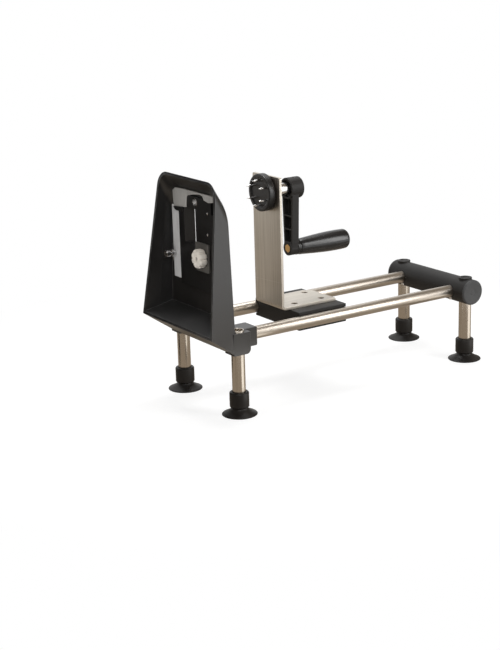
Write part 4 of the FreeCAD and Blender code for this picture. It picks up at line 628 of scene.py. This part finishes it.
FINISHES = {
    # The hood's light edge tone at a high amount is a painted highlight line along its softened edges, the
    # rim's lip among them.
    "hood_plastic": moulded("satin black hood", (0.008, 0.0077, 0.0077), (0.013, 0.0126, 0.0126),
                            (0.33, 0.42), wear_and_highlight=0.9, worn_and_highlit=(0.11, 0.11, 0.112), Specular_IOR_Level=0.85),
    "cassette_plastic": moulded("satin black insert", (0.006, 0.006, 0.0063), (0.010, 0.010, 0.0104),
                                (0.34, 0.46), worn_and_highlit=(0.04, 0.04, 0.042)),
    "block_plastic": moulded("fine grained black slider", (0.0085, 0.0077, 0.0071), (0.0125, 0.0113, 0.0105),
                             (0.48, 0.6), grain=(2200.0, 0.1), worn_and_highlit=(0.05, 0.049, 0.049),
                             Specular_IOR_Level=0.34),
    "cap_plastic": moulded("dark grey end cap", (0.032, 0.033, 0.034), (0.042, 0.043, 0.044), (0.5, 0.6),
                           worn_and_highlit=(0.09, 0.09, 0.092)),
    "foot_rubber": moulded("matte black rubber", (0.0085, 0.0072, 0.0065), (0.014, 0.0122, 0.011),
                           (0.4, 0.55), grain=(1500.0, 0.12), cloud=0.8, wear_and_highlight=0.3, worn_and_highlit=(0.035, 0.032, 0.03),
                           Specular_IOR_Level=0.32),
    # The rods' warm steel tone is partly the steel's own and partly a painted warm reflection of the studio.
    "tube_steel": metal("drawn stainless rod", (0.50, 0.455, 0.40), (0.58, 0.535, 0.475), (0.33, 0.38),
                        (5.0, 700.0, 700.0), depth=0.008),
    "plate_steel": bracket_sheet(),
    "blade_steel": metal("ground blade steel", (0.56, 0.56, 0.56), (0.72, 0.72, 0.725), (0.16, 0.28),
                         (1200.0, 14.0, 1200.0)),
    "pin_steel": metal("bright turned steel", (0.6, 0.6, 0.6), (0.74, 0.74, 0.745), (0.12, 0.22),
                       (600.0, 600.0, 600.0), depth=0.03),
    "screw_steel": metal("bright plated screw", (0.56, 0.56, 0.57), (0.74, 0.74, 0.75), (0.14, 0.26),
                         (700.0, 700.0, 700.0), depth=0.03),
    "strip_metal": metal("matte pale strip", (0.62, 0.61, 0.60), (0.76, 0.75, 0.74), (0.42, 0.55),
                         (800.0, 800.0, 60.0), depth=0.08, metallic=0.15),
    "clamp_metal": moulded("dark coated plate", (0.085, 0.08, 0.071), (0.12, 0.112, 0.10), (0.38, 0.5),
                           grain=(1800.0, 0.1), worn_and_highlit=(0.2, 0.2, 0.2)),
    "knob_plastic": moulded("ivory knob", (0.82, 0.755, 0.665), (0.89, 0.835, 0.75), (0.28, 0.38),
                            grain=(900.0, 0.04), worn_and_highlit=(0.84, 0.81, 0.75)),
    "brass": metal("plain brass", (0.68, 0.41, 0.15), (0.82, 0.54, 0.24), (0.28, 0.4), (700.0, 700.0, 700.0),
                   depth=0.05),
    "washer_plastic": moulded("gloss black washer", (0.008, 0.008, 0.008), (0.012, 0.012, 0.012),
                              (0.16, 0.24)),
    "grip_plastic": moulded("gloss black grip", (0.008, 0.008, 0.0085), (0.013, 0.013, 0.0135), (0.2, 0.28),
                            grain=(500.0, 0.03), wear_and_highlight=0.0),
}

# Finishes of pieces that look different from the rest of their slot.
# The legs' warm steel tone is partly the steel's own and partly a painted warm reflection of the studio.
LEG_STEEL = metal("drawn stainless leg", (0.50, 0.455, 0.40), (0.58, 0.535, 0.475), (0.2, 0.25),
                  (700.0, 700.0, 5.0), depth=0.008)
# The face plate takes the strip's finish in a darker tone.
FACE_STEEL = metal("face plate darker than strip", (0.36, 0.345, 0.325), (0.47, 0.455, 0.43), (0.42, 0.55),
                   (800.0, 800.0, 60.0), depth=0.08, metallic=0.15)
# The bracket's screws are dark brown to paint the shade of the holes they sit in.
HOLE_SHADE_SCREW_STEEL = metal("screw steel darkened as hole shade", (0.10, 0.075, 0.055), (0.17, 0.135, 0.10), (0.35, 0.5),
                (700.0, 700.0, 700.0), depth=0.05)

# Softened copies of rigid nodes: node and the size of its rounded edges.
SOFT_EDGES = {
    "blade_hood": 0.2, "blade_cassette": 0.3, "slicing_blade": 0.08, "comb_strip": 0.08, "clamp_plate": 0.25,
    "clamping_strip": 0.2, "back_nut": 0.2, "rear_bar": 0.4, "carriage_block": 0.5, "carriage_bracket": 0.3,
    "crank_arm": 0.4, "brass_insert": 0.2, "food_holder": 0.3, "socket_screw": 0.15,
}


def make_softened_pieces():
    for node, edge in SOFT_EDGES.items():
        settle(softened(node + "_finished", node, edge), node)


def frame_tube(node, outer, length, base, turn=Matrix(), finish=None):
    """A leg or a rod: a tube with softened ends; outer is its radius."""
    wall, rim_radius = 1.2, 0.3
    inner = outer - wall
    profile = rounded([(inner, 0), (outer, 0), (outer, length), (inner, length), (inner, 0)], rim_radius)
    settle(lathe(node + "_tube", profile, base, turn, sides=72), node, finish=finish)


def make_legs():
    for node in LEGS:
        low, high = extent(node)
        middle = centre(node)
        frame_tube(node, (high.x - low.x) / 2, high.z - low.z, (middle.x, middle.y, low.z), finish=LEG_STEEL)


def make_rods():
    for node in ("left_rod", "right_rod"):
        low, high = extent(node)
        middle = centre(node)
        frame_tube(node, (high.y - low.y) / 2, high.x - low.x, (low.x, middle.y, middle.z), ALONG_X)


def foot_profile(rim, top):
    """Half section of a suction foot, from the middle of its hollow round to the leg socket."""
    sleeve, leg, socket_floor = 10.25, 7.05, 8.0
    cup = [(0, 3.2), (4, 3.1), (8, 2.75), (12, 1.95), (15, 1.0), (17.0, 0.12), (17.4, 0.0)]
    edge = [(rim - 0.35, 0.0), (rim, 0.3), (rim, 0.75), (rim - 0.3, 1.0)]
    skirt = [(16.2, 1.9), (13.6, 3.1), (11.2, 4.5), (9.4, 5.8), (8.5, 6.7)]
    neck = [(8.35, 7.2), (8.9, 7.6), (9.7, 8.1), (sleeve, 8.9)]
    body = [(sleeve, 9.6), (sleeve + 0.02, 15.0), (sleeve, top - 1.4), (sleeve - 0.25, top - 0.7),
            (sleeve - 0.7, top - 0.2), (sleeve - 1.3, top)]
    socket = [(leg + 0.7, top), (leg + 0.2, top - 0.3), (leg, top - 0.8), (leg, socket_floor),
              (0, socket_floor)]
    return cup + edge + skirt + neck + body + socket


def on_grid(name, part, nodes, reach, spread, place, finish=None, **layout):
    """Four like parts at the corners of a rectangle.

    spread is the size over their outer edges, reach a part's radius and place the rectangle's middle, in mm.
    """
    width, depth = (side - 2 * reach for side in spread)
    settle(repeated(name, part, "grid", Finish=finish or FINISHES[SLOT_OF[nodes[0]]], Size_X=width * MM,
                    Size_Y=depth * MM, Place=tuple(along * MM for along in place), **layout),
           *nodes, finish=finish)


def make_feet():
    """Four alike suction feet on the grid of the legs."""
    low, high = extent(FEET[0])
    rim = (high.x - low.x) / 2
    middle, size = middle_of(*FEET)
    foot = lathe("foot_part", foot_profile(rim, high.z), (0, 0, 0), sides=80)
    on_grid("suction_feet", foot, FEET, rim, (size.x, size.y), (middle.x, middle.y, 0.0))


def socket_head(radius, depth, flats, sink, shank, length):
    """Profile of a screw with a hexagon socket, its head's top at height 0 and its point below."""
    crown, point, half_flats = 0.3, -depth - length, flats / 2
    return [(0, point), (shank - 0.4, point), (shank, point + 0.4), (shank, -depth),
            (radius - 0.1, -crown - 0.15), (radius, -crown), (radius - 0.12, -0.08), (radius - 0.35, 0.0),
            (half_flats + 0.45, 0.0), (half_flats + 0.12, -0.02, True), (half_flats, -0.15, True),
            (half_flats, -sink, True), (0, -sink - 0.35)]


def make_screws():
    """Screws in grids: four in the bracket's foot, four on blade and comb, four that hold the rods."""
    middle, size = middle_of("bracket_screws")
    head, depth = 3.3, 1.8
    profile = socket_head(head, depth, 2.5, 1.5, 2.0, size.z - depth)
    part = lathe("bracket_screw_part", profile, (0, 0, 0), sides=48)
    on_grid("bracket_socket_screws", part, ["bracket_screws"], head, (size.x, size.y),
            (middle.x, middle.y, extent("bracket_screws")[1].z), HOLE_SHADE_SCREW_STEEL, Turn_jitter=0.6, Seed=4)

    middle, size = middle_of("blade_screws", "comb_screws")
    head = 2.5
    part = lathe("blade_screw_part", socket_head(head, 1.1, 1.9, 0.8, 1.3, 3.0), (0, 0, 0), sides=48)
    heads_top = extent("blade_screws")[1].x - 0.5
    on_grid("blade_and_comb_screws", part, ["blade_screws", "comb_screws"], head, (size.z, size.y),
            (heads_top, middle.y, middle.z), Tilt=(0, math.pi / 2, 0), Turn_jitter=0.7, Seed=9)

    middle, size = middle_of("rod_grub_screws")
    socket, thread, radius = 0.9, 1.95, 2.0
    grub = [(0, 3.2), (1.4, 3.2), (thread, 2.7), (thread, 0.3), (1.7, 0), (1.0, 0), (socket, 0.15, True),
            (socket, 1.4, True), (0, 1.7)]
    part = lathe("rod_grub_part", grub, (0, 0, 0), sides=36)
    on_grid("rod_grub_socket_screws", part, ["rod_grub_screws"], radius, (size.x, size.y),
            (middle.x, middle.y, extent("rod_grub_screws")[0].z), Turn_jitter=0.5, Seed=2)


def make_prongs():
    """Six pointed prongs on a ring in the food holder's face."""
    face = extent("holder_prongs")[1].x
    middle, length, ring_radius = centre("holder_prongs"), length_of("holder_prongs"), 13
    profile = [(0, 0), (1.2, 0.0), (1.2, length - 3.6), (1.05, length - 3.0), (0.35, length - 0.4),
               (0.12, length - 0.06), (0, length)]
    part = lathe("prong_part", profile, (0, 0, 0), sides=24)
    settle(repeated("holder_prong_ring", part, "ring", Finish=FINISHES["pin_steel"], Vertices=6,
                    Radius=ring_radius * MM, Tilt=(0, -math.pi / 2, 0),
                    Place=(face * MM, middle.y * MM, middle.z * MM)), "holder_prongs")


def plate_between(name, outline, near, far, edge=0.15):
    """A flat plate across X with softened edges; the outline is (y, z) points in order."""
    shell = bmesh.new()
    rims = [[shell.verts.new((x * MM, y * MM, z * MM)) for y, z in outline] for x in (near, far)]
    for rim in rims:
        shell.faces.new(rim)
    join_rings(shell, *rims)
    bmesh.ops.recalc_face_normals(shell, faces=shell.faces)
    soften_edges(shell, 60, edge, clamp=True)
    bmesh.ops.triangulate(shell, faces=[face for face in shell.faces if len(face.verts) > 4])
    piece = piece_from(name, shell)
    shade_smooth(piece, 30)
    return piece


def make_panel_fittings():
    """Face plate of the strip's metal in a darker tone over the cassette's top, a black piece under it that
    paints the shade in the notch between plate and strip, and two rivets.
    """
    panel, plate_front, notch_shade_front = -153.05, -156.0, -157.0
    outer_edge = [(41.2, 206.5), (42.6, 216.5), (42.6, 225.4), (41.4, 226.6), (23.4, 227.2), (-36.0, 227.2),
                  (-36.0, 220.8), (-27.0, 219.4), (-21.6, 220.4)]
    arch = [(-18.3, 221.0), (-17.5, 222.6), (-15.6, 224.8), (-11.6, 225.7), (-5.0, 225.0), (2.0, 224.0),
            (9.0, 222.7), (13.2, 221.7), (14.8, 220.2), (15.6, 216.0), (16.4, 208.9)]
    face_plate = plate_between("panel_face_plate", outer_edge + arch, plate_front, panel)
    ride_along(face_plate, "blade_cassette", "strip_metal", FACE_STEEL)

    # The black piece below stands in for the shade of the notch between face plate and strip.
    notch_shade_outline = [(41.4, 206.4), (38.5, 203.9), (35.0, 202.9), (23.0, 203.1), (21.5, 206.4), (24.0, 208.3)]
    notch_shade = plate_between("strip_catch", notch_shade_outline, notch_shade_front, panel, 0.3)
    ride_along(notch_shade, "clamping_strip", "cassette_plastic")

    rivet = lathe("rivet_part", [(0, -0.8), (0.9, -0.8), (0.9, -0.05), (1.35, 0.0), (1.3, 0.3), (1.0, 0.6),
                                 (0.55, 0.75), (0, 0.8)], (0, 0, 0), sides=32)
    upper, to_lower = (-0.1554, -0.0238, 0.2078), (0.0, 0.0008, -0.022)
    rivets = repeated("cassette_rivets", rivet, "line", Finish=FINISHES["screw_steel"], Count=2,
                      Offset=to_lower, Part_tilt=(0, -math.pi / 2, 0), Place=upper)
    ride_along(rivets, "blade_cassette", "screw_steel")


def rim_ring(inset, depth):
    """Points round the hood's rim at an inset from its edge and a depth behind its leaning face, in mm."""
    foot, lean = 89.0, math.radians(7.15)
    foot_half, top_half, top_radius, steps = 69.4, 55.7, 17.0, 12
    low, high = extent("blade_hood")
    length = (high.z - foot) / math.cos(lean)
    right = rounded([(0, inset), (foot_half - inset, inset, 0.0),
                     (top_half - inset, length - inset, top_radius - inset), (0, length - inset)], 0.0, steps)
    outline = right + [(-across, up) for across, up in reversed(right[1:-1])]
    return [(low.x + up * math.sin(lean) + depth * math.cos(lean), across,
             foot + up * math.cos(lean) - depth * math.sin(lean)) for across, up in outline]


def make_rim_groove_shade():
    """A black strip in the groove round the hood's rim, painted shade that darkens the groove's line; it also
    backs the thin lip over the roof.
    """
    outer, inner, front = 0.86, 1.84, 0.4
    section = [(outer, front), (inner, front), (inner, 1.5), (outer, 1.0)]
    shell = bmesh.new()
    rings = [[shell.verts.new(Vector(point) * MM) for point in rim_ring(*corner)] for corner in section]
    for ring, after in zip(rings, rings[1:] + rings[:1]):
        join_rings(shell, ring, after)
    bmesh.ops.recalc_face_normals(shell, faces=shell.faces)
    groove_shade = piece_from("hood_rim_bead", shell)
    shade_smooth(groove_shade)
    ride_along(groove_shade, "blade_hood", "cassette_plastic")


def make_grip():
    """The grip: a neck that swells to its widest, a rounded end and a bore for the spindle's head."""
    low, high = extent("crank_grip")
    length, widest = high.x - low.x, (high.y - low.y) / 2
    neck, bore, chamber, chamber_start, end_wall = 8.6, 3.05, 4.0, 46.7, 2.5
    end_radius, end_taper, swell_end, swell_steps, end_steps = 4.0, 0.25, 0.74, 12, 8
    sweep = [(neck + (widest - neck) * math.sin(step / swell_steps * math.pi / 2) ** 1.15,
              1.0 + step / swell_steps * (swell_end * length)) for step in range(swell_steps + 1)]
    profile = [(bore, 0), (neck - 0.6, 0), (neck - 0.15, 0.25)] + sweep
    profile += [(widest - 0.05, 0.84 * length), (widest - end_taper, length - end_radius - 0.2)]
    for step in range(1, end_steps + 1):
        turn = math.pi / 2 * step / end_steps
        profile.append((widest - end_taper - end_radius * (1 - math.cos(turn)),
                        length - end_radius + end_radius * math.sin(turn)))
    profile += [(0, length), (0, length - end_wall), (chamber, length - end_wall), (chamber, chamber_start),
                (bore, chamber_start)]
    middle = centre("crank_grip")
    settle(lathe("crank_grip_gloss", profile, (low.x, middle.y, middle.z), ALONG_X, sides=96), "crank_grip")


def make_knob():
    """The scalloped clamp knob: eight hollows that run on to a domed face, with a ring round its bore."""
    high = extent("clamp_knob")[1]
    length, hollow, roundness = length_of("clamp_knob"), 1.95, 1.3
    sides, lobes, bore = 128, 8, 2.55
    # Each row is (radius, height, share of the hollows' depth).
    rim = [(bore, 0, 0), (8.0, 0, 0.3), (9.2, 0.35, 0.8), (9.8, 1.0, 1), (10.0, 1.9, 1),
           (10.0, length - 2.6, 1)]
    dome = [(9.8, length - 1.7, 1), (9.3, length - 1.0, 1), (8.5, length - 0.55, 0.95),
            (7.3, length - 0.25, 0.7), (6.2, length - 0.1, 0.3), (5.2, length, 0.1)]
    mark = [(4.6, length - 0.25, 0), (3.9, length - 0.35, 0), (3.5, length - 0.2, 0), (2.9, length - 0.5, 0),
            (bore, length - 1.2, 0)]
    shell = bmesh.new()
    rings = []
    for reach, height, share in rim + dome + mark:
        ring = []
        for side in range(sides):
            angle = 2 * math.pi * side / sides
            dent = max(0.0, math.cos(lobes * angle)) ** roundness * hollow * share
            ring.append(shell.verts.new(((reach - dent) * MM * math.cos(angle),
                                         (reach - dent) * MM * math.sin(angle), height * MM)))
        rings.append(ring)
    for near, far in zip(rings, rings[1:] + rings[:1]):
        join_rings(shell, near, far)
    bmesh.ops.recalc_face_normals(shell, faces=shell.faces)
    middle = centre("clamp_knob")
    shell.transform(Matrix.Translation(Vector((high.x, middle.y, middle.z)) * MM) @ AGAINST_X)
    knob = piece_from("clamp_knob_ivory", shell)
    shade_smooth(knob, 50)
    settle(knob, "clamp_knob")


def make_bar_caps():
    """End caps of the rear bar: a rounded rim and a faint dish with a moulding ring."""
    cap, spigot, spigot_end = 2.6, 6.0, 4.9
    for node, sign in (("left_bar_cap", 1), ("right_bar_cap", -1)):
        low, high = extent(node)
        outer = (high.x - low.x) / 2
        middle = centre(node)
        face = high.y if sign > 0 else low.y
        turn = Matrix.Rotation(math.pi / 2 * sign, 4, "X")
        profile = [(0, 0.35), (3.0, 0.32), (3.3, 0.42), (3.6, 0.30), (8.0, 0.2), (outer - 2.6, 0.05),
                   (outer - 1.6, 0.0), (outer - 0.8, 0.25), (outer - 0.3, 0.7), (outer, 1.3),
                   (outer, cap - 0.15), (outer - 0.12, cap), (spigot, cap), (spigot, spigot_end),
                   (0, spigot_end)]
        settle(lathe(node + "_moulded", profile, (middle.x, face, middle.z), turn, sides=96), node)


def turned(node, profile, radius):
    """A fitting turned about a line along X, with its corners rounded by a radius in mm."""
    start, middle = extent(node)[0].x, centre(node)
    settle(lathe(node + "_turned", rounded(profile, radius), (start, middle.y, middle.z), ALONG_X), node)


def tube_or_pin(node, inner, outer, radius):
    """A turned piece that is as thick all along; a pin has an inner radius of 0."""
    length = length_of(node)
    outline = [(inner, 0), (outer, 0), (outer, length), (inner, length)]
    turned(node, outline + outline[:1] if inner else outline, radius)


def make_turned_fittings():
    """Washer, bush, shaft, spindle, coring tube, ring nut and stud."""
    turned("neck_washer", [(3.05, 0), (8.2, 0), (8.2, 1.2), (7.6, 1.7), (8.2, 2.2), (8.2, 3.7), (3.05, 3.7),
                           (3.05, 0)], 0.3)
    turned("shaft_bush", [(4.05, 0), (5.5, 0), (5.5, 3.0), (7.0, 3.0), (7.0, 25.7), (4.05, 25.7),
                          (4.05, 0)], 0.25)
    tube_or_pin("crank_shaft", 0, 4, 0.5)
    length = length_of("grip_spindle")
    turned("grip_spindle", [(0, 0), (2.3, 0), (2.3, 5), (3.0, 5), (3.0, length - 3), (3.7, length - 3),
                            (2.5, length), (0, length)], 0.2)
    length = length_of("coring_tube")
    turned("coring_tube", [(3.8, 0), (4.6, 0), (4.6, length - 1.6), (3.9, length), (3.8, length),
                           (3.8, 0)], 0.04)
    tube_or_pin("ring_nut", 2.45, 4.2, 0.35)
    tube_or_pin("clamp_stud", 0, 2.5, 0.45)


def dress_the_rest():
    """Nodes that no finished piece stands for keep their solids and get their finish."""
    for node, model in NODES.items():
        if model.hide_render:
            continue
        model.data.materials.clear()
        model.data.materials.append(FINISHES[SLOT_OF[node]])


set_camera()
set_world()
set_floor()
set_reflections()
set_lights()
make_softened_pieces()
make_legs()
make_rods()
make_feet()
make_grip()
make_knob()
make_bar_caps()
make_turned_fittings()
make_screws()
make_prongs()
make_panel_fittings()
make_rim_groove_shade()
dress_the_rest()
